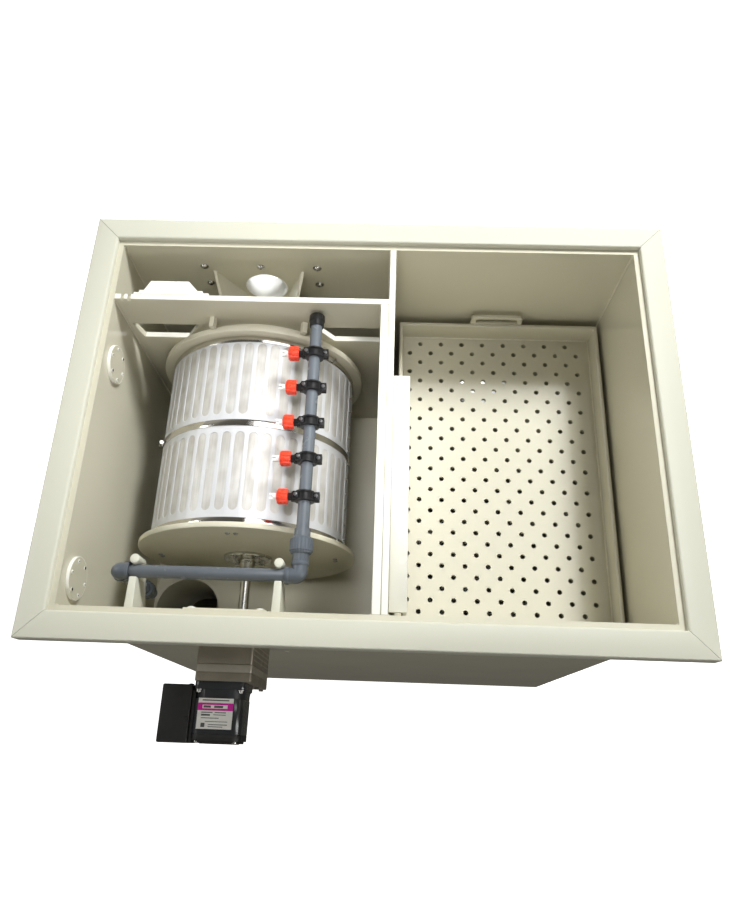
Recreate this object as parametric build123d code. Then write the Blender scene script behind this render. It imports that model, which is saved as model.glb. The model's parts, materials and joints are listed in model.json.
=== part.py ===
from build123d import *
import math
import os

# Rotary drum filter with a perforated-tray media chamber, in one rectangular plastic tank.
# Millimetres. +Z up, +X to the viewer's right, +Y to the back.
# Origin: centre of the tank's underside, which rests on the floor.

os.makedirs("parts", exist_ok=True)

# ---------------------------------------------------------------- driving dimensions
RIM_X, RIM_Y, HEIGHT = 1100, 814, 1145     # outer size of the rim and the total height
RIM_WIDTH, RIM_HEIGHT = 45, 30
RIM_ROUND = 4
WALL = 10                                  # outer wall sheet
REBATE = 11                                # wall top below the rim top
FLOOR_T = 12
SHEET = 12                                 # inner walls

BODY_X = RIM_X - 2 * RIM_WIDTH
BODY_Y = RIM_Y - 2 * RIM_WIDTH
IN_X = BODY_X / 2 - WALL                   # half the clear width inside
IN_Y = BODY_Y / 2 - WALL
WALL_TOP = HEIGHT - REBATE

DIVIDER_X = 27                             # left face of the divider sheet
LINER_T = 15                               # second sheet on the divider, beside the drum
LINER_X = DIVIDER_X - LINER_T
CROSS_Y = 228                              # front face of the wall behind the drum
RAISED_FLOOR_Z = 630                       # top of the floor under the drum
RAISED_T = 10
BOLT_R, BOLT_HOLE_R = 3.2, 3.3

# Drum, turning about an axis parallel to Y.
DRUM_X, DRUM_Z = -244, 865
DISC_R = 215
CAGE_R = 194.5
CAGE_T = 2
MESH_T = 1
DISC_FRONT, DISC_BACK = -199, -188
RING_FRONT, RING_BACK = 198, 210.5
RING_BORE_R = 183
BAND_Y, BAND_W, BAND_T = 11, 14, 1.5
SLOTS, SLOT_W, SLOT_L = 48, 17, 155
SLOT_ROWS = (-84, 106)                     # centre of each row of slots along Y
PANELS, PANEL_GAP = 16, 0.1                # slotted panels round the drum and the joint between two
SHAFT_R = 10
RUNNING = 0.05                             # radial clearance of a running fit
HUB_R, HUB_T, HUB_PCD = 48.5, 6, 72
COLLAR_R, COLLAR_L = 15.5, 22
NECK_R, NECK_T, NECK_FRONT = 180, 12, 214  # collar on the cross wall that the drum faces
PLATE_T, BEARING_L = 10, 22                # bearing plate and bearing inside the front wall
PLATE_X, PLATE_TOP = -231, 1090
BEARING_FRONT = -IN_Y + PLATE_T + BEARING_L

ROLLER_R, ROLLER_L, AXLE_R = 20, 12, 5
ROLLER_GAP = 0.3
ROLLER_ANGLES = {"left": 240, "right": 300}
RETAINER_ANGLES = (109, 62)
RETAINER_FRONT = 205

# Rinse pipework.
PIPE_R, PIPE_BORE = 11, 9
FITTING_R = 14
SOCKET_FOOT = 12                           # elbow corner to the pipe end inside its socket
SPRAY_X, SPRAY_Z = -110, 1100
SUPPLY_Y = -286
DROP_X = -415
COUPLING_R, COUPLING_Z0, COUPLING_Z1 = 15.5, 930, 954
SUPPLY_TAIL = 22                           # spigot below the coupling, for the supply hose
NOZZLE_Y = [137, 66, -5, -76, -147]
CLAMP_R, CLAMP_L = 17.5, 18
BOSS_R = 7
CAP_R, CAP_L = 14, 20
CAP_BACK_X = SPRAY_X - 29                  # face of the red cap nearest the pipe
TIP_R, TIP_L = 4.5, 13
ARM_X = (-384.5, -143.5)
UNION_Y, UNION_R = -236, 16                # sealing face of the union
ARM_TIP_Y = -268

# Gearmotor on the front wall.
WALL_FRONT = -BODY_Y / 2
GEAR_MODULE = 1.0
GEAR_TEETH, PINION_TEETH = 48, 12
CENTRE_DISTANCE = GEAR_MODULE * (GEAR_TEETH + PINION_TEETH) / 2
MOTOR_ANGLE = 120                          # direction from the drum axis to the motor axis
MOTOR_X = DRUM_X + CENTRE_DISTANCE * math.cos(math.radians(MOTOR_ANGLE))
MOTOR_Z = DRUM_Z + CENTRE_DISTANCE * math.sin(math.radians(MOTOR_ANGLE))
CASE_X0, CASE_X1, CASE_Z0, CASE_Z1 = -306, -203, 742, 937
CASE_L, COVER_L, CASE_WALL = 54, 30, 7
FLANGE_SIDE, FLANGE_L = 92, 14
MOTOR_HALF, MOTOR_L, END_L = 44, 76, 16    # half the motor's square side
STATOR_R = 40
CASE_FRONT = WALL_FRONT - CASE_L
COVER_FRONT = CASE_FRONT - COVER_L
FLANGE_FRONT = COVER_FRONT - FLANGE_L
MOTOR_FRONT = FLANGE_FRONT - MOTOR_L
END_FRONT = MOTOR_FRONT - END_L
BOX_X0, BOX_X1, BOX_Z0, BOX_Z1 = -365, MOTOR_X - MOTOR_HALF, 852, 926
BOX_Y0, BOX_Y1, BASE_T = END_FRONT, -452, 6

# Pipe spigots through the back wall: (x, z, outer radius, bore radius).
SPIGOT_END = 405
COLLAR_T = 4                               # weld collar outside the back wall
TROUGH_TOP, CHUTE_TOP = 1020, 1060
CHUTE_X = (-335, -148)                     # top edges of the chute on the back wall
WASTE = (-232, 1006, 45, 42)
INLET = (-396, 740, 55, 51.5)
OUTLET = (281, 560, 80, 75)
FLOOR_PIPE = (-418.5, -269, 75, 72)        # (x, y, outer radius, bore radius)

# Media chamber.
TRAY_X0, TRAY_X1, TRAY_Y = 52, 486, 333
TRAY_Z, TRAY_T, TRAY_WALL, TRAY_H = 863, 8, 8, 50
HOLE_R, HOLE_PITCH = 5, 46.5
HOLE_X, HOLE_Y = 147, -250                 # one hole of the staggered pattern
HANDLE_X, HANDLE_W, HANDLE_H, HANDLE_T = 264, 112, 46, 8
HOOD_X1, HOOD_Y0, HOOD_Y1, HOOD_TOP, HOOD_BOTTOM, HOOD_T = 70, -341, 96, 1100, 960, 6

DISC_SPOTS = (117, -297)                   # Y of the two blanking discs on the left wall
BLANK_R, BLANK_T, BLANK_Z = 37, 6, 1078


# ---------------------------------------------------------------- small helpers
def block(x0, x1, y0, y1, z0, z1):
    """Box between two corners."""
    box = Box(abs(x1 - x0), abs(y1 - y0), abs(z1 - z0))
    return Pos((x0 + x1) / 2, (y0 + y1) / 2, (z0 + z1) / 2) * box


def rod_x(y, z, r, x0, x1):
    return Pos((x0 + x1) / 2, y, z) * Rot(0, 90, 0) * Cylinder(r, abs(x1 - x0))


def rod_y(x, z, r, y0, y1):
    return Pos(x, (y0 + y1) / 2, z) * Rot(90, 0, 0) * Cylinder(r, abs(y1 - y0))


def rod_z(x, y, r, z0, z1):
    return Pos(x, y, (z0 + z1) / 2) * Cylinder(r, abs(z1 - z0))


def tube_y(x, z, outer, inner, y0, y1):
    return rod_y(x, z, outer, y0, y1) - rod_y(x, z, inner, y0 - 1, y1 + 1)


def prism_y(points, y0, y1):
    """Closed outline in (x, z), given thickness along Y."""
    face = make_face(Polyline([(x, y0, z) for x, z in points], close=True))
    return extrude(face, amount=y1 - y0, dir=(0, 1, 0))


def prism_x(points, x0, x1):
    """Closed outline in (y, z), given thickness along X."""
    face = make_face(Polyline([(x0, y, z) for y, z in points], close=True))
    return extrude(face, amount=x1 - x0, dir=(1, 0, 0))


def prism_z(points, z0, z1):
    """Closed outline in (x, y), given thickness along Z."""
    face = make_face(Polyline([(x, y, z0) for x, y in points], close=True))
    return extrude(face, amount=z1 - z0, dir=(0, 0, 1))


def polar(cx, cz, r, degrees):
    """Point in the XZ plane at a radius and an angle from +X towards +Z."""
    a = math.radians(degrees)
    return cx + r * math.cos(a), cz + r * math.sin(a)


def hex_head(x, y, z, across, height, axis):
    """Hexagon prism centred at a point, its axis along 'x', 'y' or 'z'."""
    turn = {"x": Rot(0, 90, 0), "y": Rot(90, 0, 0), "z": Rot(0, 0, 0)}[axis]
    head = extrude(RegularPolygon(across / math.sqrt(3), 6), height / 2, both=True)
    return Pos(x, y, z) * turn * head


def save(name, *solids):
    """Write one node, as one solid or a group of separate solids."""
    shape = solids[0] if len(solids) == 1 else Compound(children=list(solids))
    shape.label = name
    export_step(shape, "parts/" + name + ".step")


# ---------------------------------------------------------------- tank
def rim_bar(length):
    """Rim bar along X with its inner edge on Y=0, mitred at both ends."""
    profile = Rectangle(RIM_WIDTH, RIM_HEIGHT)
    profile = fillet(profile.vertices().filter_by_position(Axis.Y, 0, RIM_HEIGHT), RIM_ROUND)
    bar = extrude(Plane.YZ * profile, length / 2, both=True)
    bar = Pos(0, RIM_WIDTH / 2, HEIGHT - RIM_HEIGHT / 2) * bar
    half = length / 2
    mitre = prism_z([(-half, RIM_WIDTH), (half, RIM_WIDTH), (half - RIM_WIDTH, 0),
                     (RIM_WIDTH - half, 0)], HEIGHT - 2 * RIM_HEIGHT, HEIGHT + RIM_HEIGHT)
    return bar & mitre


def tank_shell():
    save("tank_floor", block(-BODY_X / 2, BODY_X / 2, -BODY_Y / 2, BODY_Y / 2, 0, FLOOR_T))
    front = block(-BODY_X / 2, BODY_X / 2, -BODY_Y / 2, -IN_Y, FLOOR_T, WALL_TOP)
    front -= rod_y(DRUM_X, DRUM_Z, SHAFT_R + 5, -BODY_Y / 2 - 1, -IN_Y + 1)
    for x, z in plate_bolts():
        front -= rod_y(x, z, BOLT_HOLE_R, -BODY_Y / 2 - 1, -IN_Y + 1)
    save("front_wall", front)
    back = block(-BODY_X / 2, BODY_X / 2, IN_Y, BODY_Y / 2, FLOOR_T, WALL_TOP)
    for x, z, outer, bore in (WASTE, INLET, OUTLET):
        back -= rod_y(x, z, outer - 1, IN_Y - 1, BODY_Y / 2 + 1)
    for x, z in back_bolts():
        back -= rod_y(x, z, BOLT_HOLE_R, IN_Y - 1, BODY_Y / 2 + 1)
    save("back_wall", back)
    sides = [block(sx * BODY_X / 2, sx * IN_X, -IN_Y, IN_Y, FLOOR_T, WALL_TOP)
             for sx in (-1, 1)]
    save("side_walls", *sides)
    bars = []
    for turn, length, offset in ((0, RIM_X, BODY_Y), (180, RIM_X, BODY_Y),
                                 (90, RIM_Y, BODY_X), (-90, RIM_Y, BODY_X)):
        bars.append(Rot(0, 0, turn) * Pos(0, offset / 2, 0) * rim_bar(length))
    save("rim_frame", *bars)


def back_bolts():
    x0, z0 = -235, 1074
    return [(x0 - 115, z0), (x0, z0), (x0 + 115, z0), (x0 - 113, z0 - 55), (x0 + 115, z0 - 55)]


def plate_bolts():
    return [(PLATE_X + sx * 58, z) for sx in (-1, 1) for z in (PLATE_TOP - 11, 690)]


def divider_slots():
    """Transfer slots through the divider, under the hood."""
    return [block(0, DIVIDER_X + SHEET + 1, y - 30, y + 30, 1040, 1064)
            for y in (-290, -205, -120, -35, 50)]


def inner_walls():
    divider = block(DIVIDER_X, DIVIDER_X + SHEET, -IN_Y, IN_Y, FLOOR_T, WALL_TOP)
    divider -= block(0, 100, -150, 150, 150, 450)
    liner = block(LINER_X, DIVIDER_X, -IN_Y, CROSS_Y, RAISED_FLOOR_Z, WALL_TOP)
    for slot in divider_slots():
        divider -= slot
        liner -= slot
    save("divider_wall", divider, liner)
    raised = block(-IN_X, DIVIDER_X, -IN_Y, IN_Y, RAISED_FLOOR_Z - RAISED_T, RAISED_FLOOR_Z)
    raised -= rod_z(FLOOR_PIPE[0], FLOOR_PIPE[1], FLOOR_PIPE[2], 0, RAISED_FLOOR_Z + 1)
    save("raised_floor", raised)
    wall = block(-IN_X, DIVIDER_X, CROSS_Y, CROSS_Y + SHEET, RAISED_FLOOR_Z, WALL_TOP)
    wall -= rod_y(DRUM_X, DRUM_Z, NECK_R, CROSS_Y - 1, CROSS_Y + SHEET + 1)
    left_cut = [(-475.5, 1000), (-384, 1000), (-352, 1049), (-487, 1049)]
    right_cut = [(-83, 1000), (DIVIDER_X - 15, 1000), (DIVIDER_X - 15, 1049), (-121, 1049)]
    for outline in (left_cut, right_cut):
        wall -= prism_y(outline, CROSS_Y - 1, CROSS_Y + SHEET + 1)
    for x in (-479.5, -467):
        wall -= block(x - 2.5, x + 2.5, CROSS_Y - 1, CROSS_Y + SHEET + 1, WALL_TOP - 8, HEIGHT)
    for angle in ROLLER_ANGLES.values():
        x, z = roller_centre(angle)
        wall -= rod_y(x, z, AXLE_R, CROSS_Y - 1, CROSS_Y + SHEET + 1)
    save("cross_wall", wall)
    save("drum_neck", tube_y(DRUM_X, DRUM_Z, NECK_R + NECK_T, NECK_R, NECK_FRONT, CROSS_Y))
    y0 = BEARING_FRONT
    save("drum_seals", tube_y(DRUM_X, DRUM_Z, 190, 184, RING_BACK + 0.5, NECK_FRONT),
         tube_y(DRUM_X, DRUM_Z, 20, SHAFT_R + RUNNING, y0, y0 + 7))
    hood = block(DIVIDER_X + SHEET + 0.5, HOOD_X1, HOOD_Y0, HOOD_Y1, HOOD_TOP - HOOD_T, HOOD_TOP)
    hood += block(HOOD_X1 - HOOD_T, HOOD_X1, HOOD_Y0, HOOD_Y1, HOOD_BOTTOM, HOOD_TOP)
    hood += block(DIVIDER_X + SHEET + 0.5, HOOD_X1, HOOD_Y1 - HOOD_T, HOOD_Y1, HOOD_BOTTOM, HOOD_TOP)
    save("transfer_hood", hood)


# ---------------------------------------------------------------- waste trough and pipes
def trough_profile(left, right, top):
    """Outline of the sloped sheet channel, five millimetres thick."""
    x = WASTE[0]
    outer = [(left, top), (x - 40, 962), (x + 40, 962), (right, top)]
    inner = [(right - 5.7, top), (x + 37, 967), (x - 37, 967), (left + 5.7, top)]
    return outer + inner


def trough_and_pipes():
    chute_y = CROSS_Y + SHEET + 20
    x = WASTE[0]
    trough = prism_y(trough_profile(x - 70, x + 70, TROUGH_TOP), -150, chute_y)
    wings = prism_y(trough_profile(*CHUTE_X, CHUTE_TOP), chute_y, IN_Y)
    wings &= prism_x([(chute_y, 900), (IN_Y, 900), (IN_Y, CHUTE_TOP), (chute_y, TROUGH_TOP)],
                     -400, 0)
    save("waste_trough", trough + wings)
    stubs = []
    for x, z, outer, bore in (WASTE, INLET, OUTLET):
        stub = tube_y(x, z, outer - 1, bore, IN_Y, BODY_Y / 2)
        stub += tube_y(x, z, outer + 4, bore, BODY_Y / 2, BODY_Y / 2 + COLLAR_T)
        stubs.append(stub + tube_y(x, z, outer, bore, BODY_Y / 2 + COLLAR_T, SPIGOT_END))
    x, y, outer, bore = FLOOR_PIPE
    stubs.append(rod_z(x, y, outer, 400, RAISED_FLOOR_Z) - rod_z(x, y, bore, 0, HEIGHT))
    save("pipe_stubs", *stubs)


def bolt_through(x, z, head_y, inward, wall_front):
    """Bolt along Y: round head inside, shank through the wall, hexagon nut outside."""
    nut_y = wall_front - inward * 2.5
    bolt = rod_y(x, z, BOLT_R, wall_front, head_y)
    bolt += rod_y(x, z, 6, head_y, head_y + inward * 4)
    return bolt + hex_head(x, nut_y, z, 10, 5, "y")


def blanking_discs():
    discs, screws = [], []
    for y in DISC_SPOTS:
        discs.append(rod_x(y, BLANK_Z, BLANK_R, -IN_X, -IN_X + BLANK_T))
        for k in range(6):
            sy, sz = polar(y, BLANK_Z, 29, 20 + 60 * k)
            screws.append(rod_x(sy, sz, 3.2, -IN_X + BLANK_T, -IN_X + BLANK_T + 2))
    save("blanking_discs", *discs)
    for x, z in back_bolts():
        screws.append(bolt_through(x, z, IN_Y, -1, BODY_Y / 2))
    for x, z in plate_bolts():
        screws.append(bolt_through(x, z, -IN_Y + PLATE_T, 1, -BODY_Y / 2))
    save("wall_bolts", *screws)


# ---------------------------------------------------------------- drum
def roller_centre(angle):
    return polar(DRUM_X, DRUM_Z, DISC_R + ROLLER_GAP + ROLLER_R, angle)


def drum():
    disc = rod_y(DRUM_X, DRUM_Z, DISC_R, DISC_FRONT, DISC_BACK)
    disc = fillet(disc.edges().filter_by(GeomType.CIRCLE), 2)
    disc -= rod_y(DRUM_X, DRUM_Z, SHAFT_R, DISC_FRONT - 1, DISC_BACK + 1)
    save("drum_front_disc", disc)
    ring = tube_y(DRUM_X, DRUM_Z, DISC_R, RING_BORE_R, RING_FRONT, RING_BACK)
    save("drum_back_ring", ring)
    outer, inner = CAGE_R, CAGE_R - CAGE_T
    half = math.pi / PANELS - math.asin(PANEL_GAP / 2 / outer)
    wedge = prism_y([(0, 0), (400 * math.sin(half), 400 * math.cos(half)),
                     (-400 * math.sin(half), 400 * math.cos(half))], DISC_BACK, RING_FRONT)
    panel = tube_y(0, 0, outer, inner, DISC_BACK, RING_FRONT) & wedge
    slot = extrude(Rot(0, 0, 90) * SlotOverall(SLOT_L, SLOT_W), 14, both=True)
    for row in SLOT_ROWS:
        for k in (-1, 0, 1):
            panel -= Rot(0, 360 * k / SLOTS, 0) * Pos(0, row, outer) * slot
    save("drum_cage", *[Pos(DRUM_X, 0, DRUM_Z) * Rot(0, 360 * k / PANELS, 0) * panel
                        for k in range(PANELS)])
    mesh = tube_y(DRUM_X, DRUM_Z, inner, inner - MESH_T, DISC_BACK, RING_FRONT)
    save("filter_mesh", mesh)
    bands = [tube_y(DRUM_X, DRUM_Z, outer + BAND_T, outer, y - BAND_W / 2, y + BAND_W / 2)
             for y in (DISC_BACK + BAND_W / 2, BAND_Y, RING_FRONT - BAND_W / 2)]
    save("clamp_bands", *bands)
    hub = rod_y(DRUM_X, DRUM_Z, HUB_R, DISC_FRONT - HUB_T, DISC_FRONT)
    hub += rod_y(DRUM_X, DRUM_Z, COLLAR_R, DISC_FRONT - HUB_T - COLLAR_L, DISC_FRONT)
    hub -= rod_y(DRUM_X, DRUM_Z, SHAFT_R, -300, 0)
    save("drum_hub", hub)
    save("drum_shaft", rod_y(DRUM_X, DRUM_Z, SHAFT_R, CASE_FRONT - 14, DISC_BACK + 10))
    screws = []
    for k in range(4):
        for offset in (-3, 3):
            x, z = polar(DRUM_X, DRUM_Z, 176, 90 * k + offset)
            screws.append(rod_y(x, z, 4, DISC_FRONT - 2.5, DISC_FRONT))
        x, z = polar(DRUM_X, DRUM_Z, HUB_PCD / 2, 45 + 90 * k)
        screws.append(hex_head(x, DISC_FRONT - HUB_T - 2.5, z, 10, 5, "y"))
    save("drum_screws", *screws)


def rollers():
    axles = []
    for side, angle in ROLLER_ANGLES.items():
        x, z = roller_centre(angle)
        y0 = (RING_FRONT + RING_BACK - ROLLER_L) / 2
        save("support_roller_" + side, tube_y(x, z, ROLLER_R, AXLE_R + RUNNING, y0, y0 + ROLLER_L))
        axle = rod_y(x, z, AXLE_R, y0 - 0.5, CROSS_Y + SHEET)
        axle += rod_y(x, z, 8, y0 - 4.5, y0 - 0.5)
        axle += rod_y(x, z, 9, y0 + ROLLER_L + 0.5, CROSS_Y)
        axles.append(axle)
    save("roller_axles", *axles)
    lugs = []
    for angle in RETAINER_ANGLES:
        lug = block(DISC_R + 3, DISC_R + 14, RETAINER_FRONT, CROSS_Y, -5, 5)
        lugs.append(Pos(DRUM_X, 0, DRUM_Z) * Rot(0, -angle, 0) * lug)
    save("drum_retainers", *lugs)


# ---------------------------------------------------------------- front bearing and gearmotor
def involute_gear(teeth, addendum, dedendum, y0, y1, x, z, turn):
    """Spur gear about an axis along Y, with one tooth centred on the angle turn."""
    pressure = math.radians(20)
    pitch_r = GEAR_MODULE * teeth / 2
    base_r = pitch_r * math.cos(pressure)
    tip_r, root_r = pitch_r + addendum, pitch_r - dedendum
    thickness = 0.44 * math.pi * GEAR_MODULE
    roll = math.tan(pressure) - pressure
    points = []
    steps = 5
    for k in range(teeth):
        centre = math.radians(turn) + 2 * math.pi * k / teeth
        flank = []
        start_r = max(base_r, root_r)
        for i in range(steps):
            r = start_r + (tip_r - start_r) * i / (steps - 1)
            alpha = math.acos(min(1, base_r / r))
            half = thickness / (2 * pitch_r) + roll - (math.tan(alpha) - alpha)
            flank.append((r, half))
        side = [(root_r, flank[0][1])] + flank if root_r < start_r else flank
        for r, half in side:
            points.append((r, centre - half))
        for r, half in reversed(side):
            points.append((r, centre + half))
    outline = [(x + r * math.cos(a), z + r * math.sin(a)) for r, a in points]
    return prism_y(outline, y0, y1)


def front_bearing():
    y0 = -IN_Y + PLATE_T
    plate = block(PLATE_X - 70, PLATE_X + 70, -IN_Y, y0, 675, PLATE_TOP)
    plate -= rod_y(DRUM_X, DRUM_Z, SHAFT_R + 5, -IN_Y - 1, y0 + 1)
    for x, z in plate_bolts():
        plate -= rod_y(x, z, BOLT_HOLE_R, -IN_Y - 1, y0 + 1)
    save("bearing_plate", plate)
    housing = tube_y(DRUM_X, DRUM_Z, 45, SHAFT_R + RUNNING, y0, y0 + 8)
    housing += tube_y(DRUM_X, DRUM_Z, 26, SHAFT_R + RUNNING, y0, BEARING_FRONT)
    save("flange_bearing", housing)


def motor_block(y0, y1):
    """Length of the motor's square section with well rounded corners."""
    solid = block(MOTOR_X - MOTOR_HALF, MOTOR_X + MOTOR_HALF, y0, y1,
                  MOTOR_Z - MOTOR_HALF, MOTOR_Z + MOTOR_HALF)
    return fillet(solid.edges().filter_by(Axis.Y), 16)


def gearmotor():
    case = block(CASE_X0, CASE_X1, CASE_FRONT, WALL_FRONT, CASE_Z0, CASE_Z1)
    case = fillet(case.edges().filter_by(Axis.Y), 5)
    case -= block(CASE_X0 + CASE_WALL, CASE_X1 - CASE_WALL, CASE_FRONT - 1,
                  WALL_FRONT - CASE_WALL, CASE_Z0 + CASE_WALL, CASE_Z1 - CASE_WALL)
    case -= rod_y(DRUM_X, DRUM_Z, SHAFT_R + RUNNING, WALL_FRONT - 20, WALL_FRONT + 1)
    save("gearbox_case", case)
    cover = block(CASE_X0, CASE_X1, COVER_FRONT, CASE_FRONT, CASE_Z0, CASE_Z1)
    cover = fillet(cover.edges().filter_by(Axis.Y), 5)
    cover -= rod_y(DRUM_X, DRUM_Z, SHAFT_R + RUNNING, CASE_FRONT - 15, CASE_FRONT + 1)
    cover -= rod_y(MOTOR_X, MOTOR_Z, 6 + RUNNING, COVER_FRONT - 1, CASE_FRONT + 1)
    save("gearbox_cover", cover)
    gear_y = (CASE_FRONT + 4, CASE_FRONT + 16)
    gear = involute_gear(GEAR_TEETH, 0.75, 1.1, *gear_y, DRUM_X, DRUM_Z, MOTOR_ANGLE)
    gear -= rod_y(DRUM_X, DRUM_Z, SHAFT_R, gear_y[0] - 1, gear_y[1] + 1)
    save("output_gear", gear)
    half_tooth = 180 / PINION_TEETH
    pinion = involute_gear(PINION_TEETH, 0.8, 1.1, *gear_y, MOTOR_X, MOTOR_Z,
                           MOTOR_ANGLE + 180 + half_tooth)
    shaft = rod_y(MOTOR_X, MOTOR_Z, 6, MOTOR_FRONT - 4, CASE_FRONT + 2)
    shaft += rod_y(MOTOR_X, MOTOR_Z, 4, CASE_FRONT + 2, gear_y[0])
    rotor_y = (MOTOR_FRONT + 12, FLANGE_FRONT - 12)
    save("motor_rotor", shaft + pinion, tube_y(MOTOR_X, MOTOR_Z, 24.5, 6, *rotor_y))
    save("stator", tube_y(MOTOR_X, MOTOR_Z, STATOR_R, 25, *rotor_y))
    side = FLANGE_SIDE / 2
    flange = block(MOTOR_X - side, MOTOR_X + side, FLANGE_FRONT, COVER_FRONT,
                   MOTOR_Z - side, MOTOR_Z + side)
    flange = fillet(flange.edges().filter_by(Axis.Y), 9)
    flange -= rod_y(MOTOR_X, MOTOR_Z, 6 + RUNNING, FLANGE_FRONT - 1, COVER_FRONT + 1)
    body = motor_block(MOTOR_FRONT, FLANGE_FRONT)
    body -= rod_y(MOTOR_X, MOTOR_Z, STATOR_R, MOTOR_FRONT - 1, FLANGE_FRONT)
    for sx in (-1, 1):
        for sz in (-1, 1):
            x, z = MOTOR_X + sx * (side - 8), MOTOR_Z + sz * (side - 8)
            body -= rod_y(x, z, 7, FLANGE_FRONT - 16, FLANGE_FRONT)
    save("motor_body", flange + body)
    end = motor_block(END_FRONT, MOTOR_FRONT)
    end -= rod_y(MOTOR_X, MOTOR_Z, 6 + RUNNING, MOTOR_FRONT - 6, MOTOR_FRONT + 1)
    for k in range(-3, 4):
        end -= block(MOTOR_X - 46, MOTOR_X + 46, END_FRONT - 1, END_FRONT + 3,
                     MOTOR_Z + 10 * k - 1.5, MOTOR_Z + 10 * k + 1.5)
    save("motor_end_cap", end)
    screws = []
    for sx in (-1, 1):
        for sz in (-1, 1):
            x, z = MOTOR_X + sx * (side - 8), MOTOR_Z + sz * (side - 8)
            screws.append(rod_y(x, z, 4.5, FLANGE_FRONT - 6, FLANGE_FRONT))
    save("motor_screws", *screws)


def terminal_box():
    """Deep cover with a cable gland, on a base plate against the motor's side."""
    split = BOX_X1 - BASE_T
    base = block(split, BOX_X1, BOX_Y0, FLANGE_FRONT - 2, BOX_Z0, BOX_Z1)
    lid = block(BOX_X0, split, BOX_Y0, BOX_Y1, BOX_Z0, BOX_Z1)
    lid = fillet(lid.edges().filter_by(Axis.X), 4)
    lid -= block(BOX_X0 + 5, split + 1, BOX_Y0 + 5, BOX_Y1 - 5, BOX_Z0 + 5, BOX_Z1 - 5)
    gland_x, gland_y = BOX_X0 + 29, (BOX_Y0 + BOX_Y1) / 2
    lid -= rod_z(gland_x, gland_y, 8, BOX_Z0 - 1, BOX_Z0 + 6)
    save("terminal_box", base, lid)
    gland = rod_z(gland_x, gland_y, 8, BOX_Z0 - 12, BOX_Z0 + 8)
    gland += hex_head(gland_x, gland_y, BOX_Z0 - 9, 22, 12, "z")
    gland += hex_head(gland_x, gland_y, BOX_Z0 + 7, 22, 4, "z")
    gland -= rod_z(gland_x, gland_y, 4, BOX_Z0 - 30, BOX_Z0 + 30)
    save("cable_gland", gland)


# ---------------------------------------------------------------- rinse pipework
def elbow(corner, first, second, reach=19):
    """Socket elbow: two short arms from a corner, each given as a unit direction."""
    arms = [Plane(origin=corner, z_dir=d) for d in (first, second)]
    solid = Pos(*corner) * Sphere(FITTING_R + 0.4)
    for arm in arms:
        solid += arm * Pos(0, 0, reach / 2) * Cylinder(FITTING_R, reach)
    for arm in arms:
        solid -= arm * Pos(0, 0, (reach - 5) / 2) * Cylinder(PIPE_BORE, reach + 9)
        solid -= arm * Pos(0, 0, SOCKET_FOOT + reach / 2) * Cylinder(PIPE_R, reach)
    return solid


def supply_line():
    upper = elbow((DROP_X, SUPPLY_Y, SPRAY_Z), (1, 0, 0), (0, 0, -1))
    right = elbow((SPRAY_X, SUPPLY_Y, SPRAY_Z), (-1, 0, 0), (0, 1, 0), 24)
    right += tube_y(SPRAY_X, SPRAY_Z, PIPE_R, PIPE_BORE, SUPPLY_Y + 12, UNION_Y)
    right += tube_y(SPRAY_X, SPRAY_Z, UNION_R, PIPE_BORE, UNION_Y - 6, UNION_Y)
    foot = (COUPLING_Z0 + COUPLING_Z1) / 2
    coupling = rod_z(DROP_X, SUPPLY_Y, COUPLING_R, COUPLING_Z0, COUPLING_Z1)
    coupling += rod_z(DROP_X, SUPPLY_Y, PIPE_R, COUPLING_Z0 - SUPPLY_TAIL, COUPLING_Z0)
    coupling -= rod_z(DROP_X, SUPPLY_Y, PIPE_R, foot, COUPLING_Z1 + 1)
    coupling -= rod_z(DROP_X, SUPPLY_Y, PIPE_BORE, COUPLING_Z0 - SUPPLY_TAIL - 1, COUPLING_Z1)
    save("pipe_elbows", upper, right, coupling)
    pipe = rod_x(SUPPLY_Y, SPRAY_Z, PIPE_R, DROP_X + SOCKET_FOOT, SPRAY_X - SOCKET_FOOT)
    pipe -= rod_x(SUPPLY_Y, SPRAY_Z, PIPE_BORE, DROP_X, SPRAY_X)
    drop = rod_z(DROP_X, SUPPLY_Y, PIPE_R, foot, SPRAY_Z - SOCKET_FOOT)
    drop -= rod_z(DROP_X, SUPPLY_Y, PIPE_BORE, foot - 1, SPRAY_Z)
    save("supply_pipes", pipe, drop)


def arms():
    """Cantilever brackets on the front wall, notched to hold the supply pipe."""
    brackets = []
    for x in ARM_X:
        wide, narrow = 7.5, 5
        arm = prism_z([(x - wide, -IN_Y), (x + wide, -IN_Y), (x + narrow, ARM_TIP_Y),
                       (x - narrow, ARM_TIP_Y)], 1040, SPRAY_Z + 12)
        arm += rod_z(x, ARM_TIP_Y, 6.5, 1074, SPRAY_Z + 17)
        arm -= prism_x([(-IN_Y - 10, 1040), (ARM_TIP_Y + 20, 1072), (ARM_TIP_Y + 20, 1000),
                        (-IN_Y - 10, 1000)], x - 40, x + 40)
        arm -= rod_x(SUPPLY_Y, SPRAY_Z, PIPE_R, x - 40, x + 40)
        arm -= block(x - 40, x + 40, SUPPLY_Y - PIPE_R, SUPPLY_Y + PIPE_R, SPRAY_Z, SPRAY_Z + 40)
        brackets.append(arm)
    save("pipe_arms", *brackets)


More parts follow.
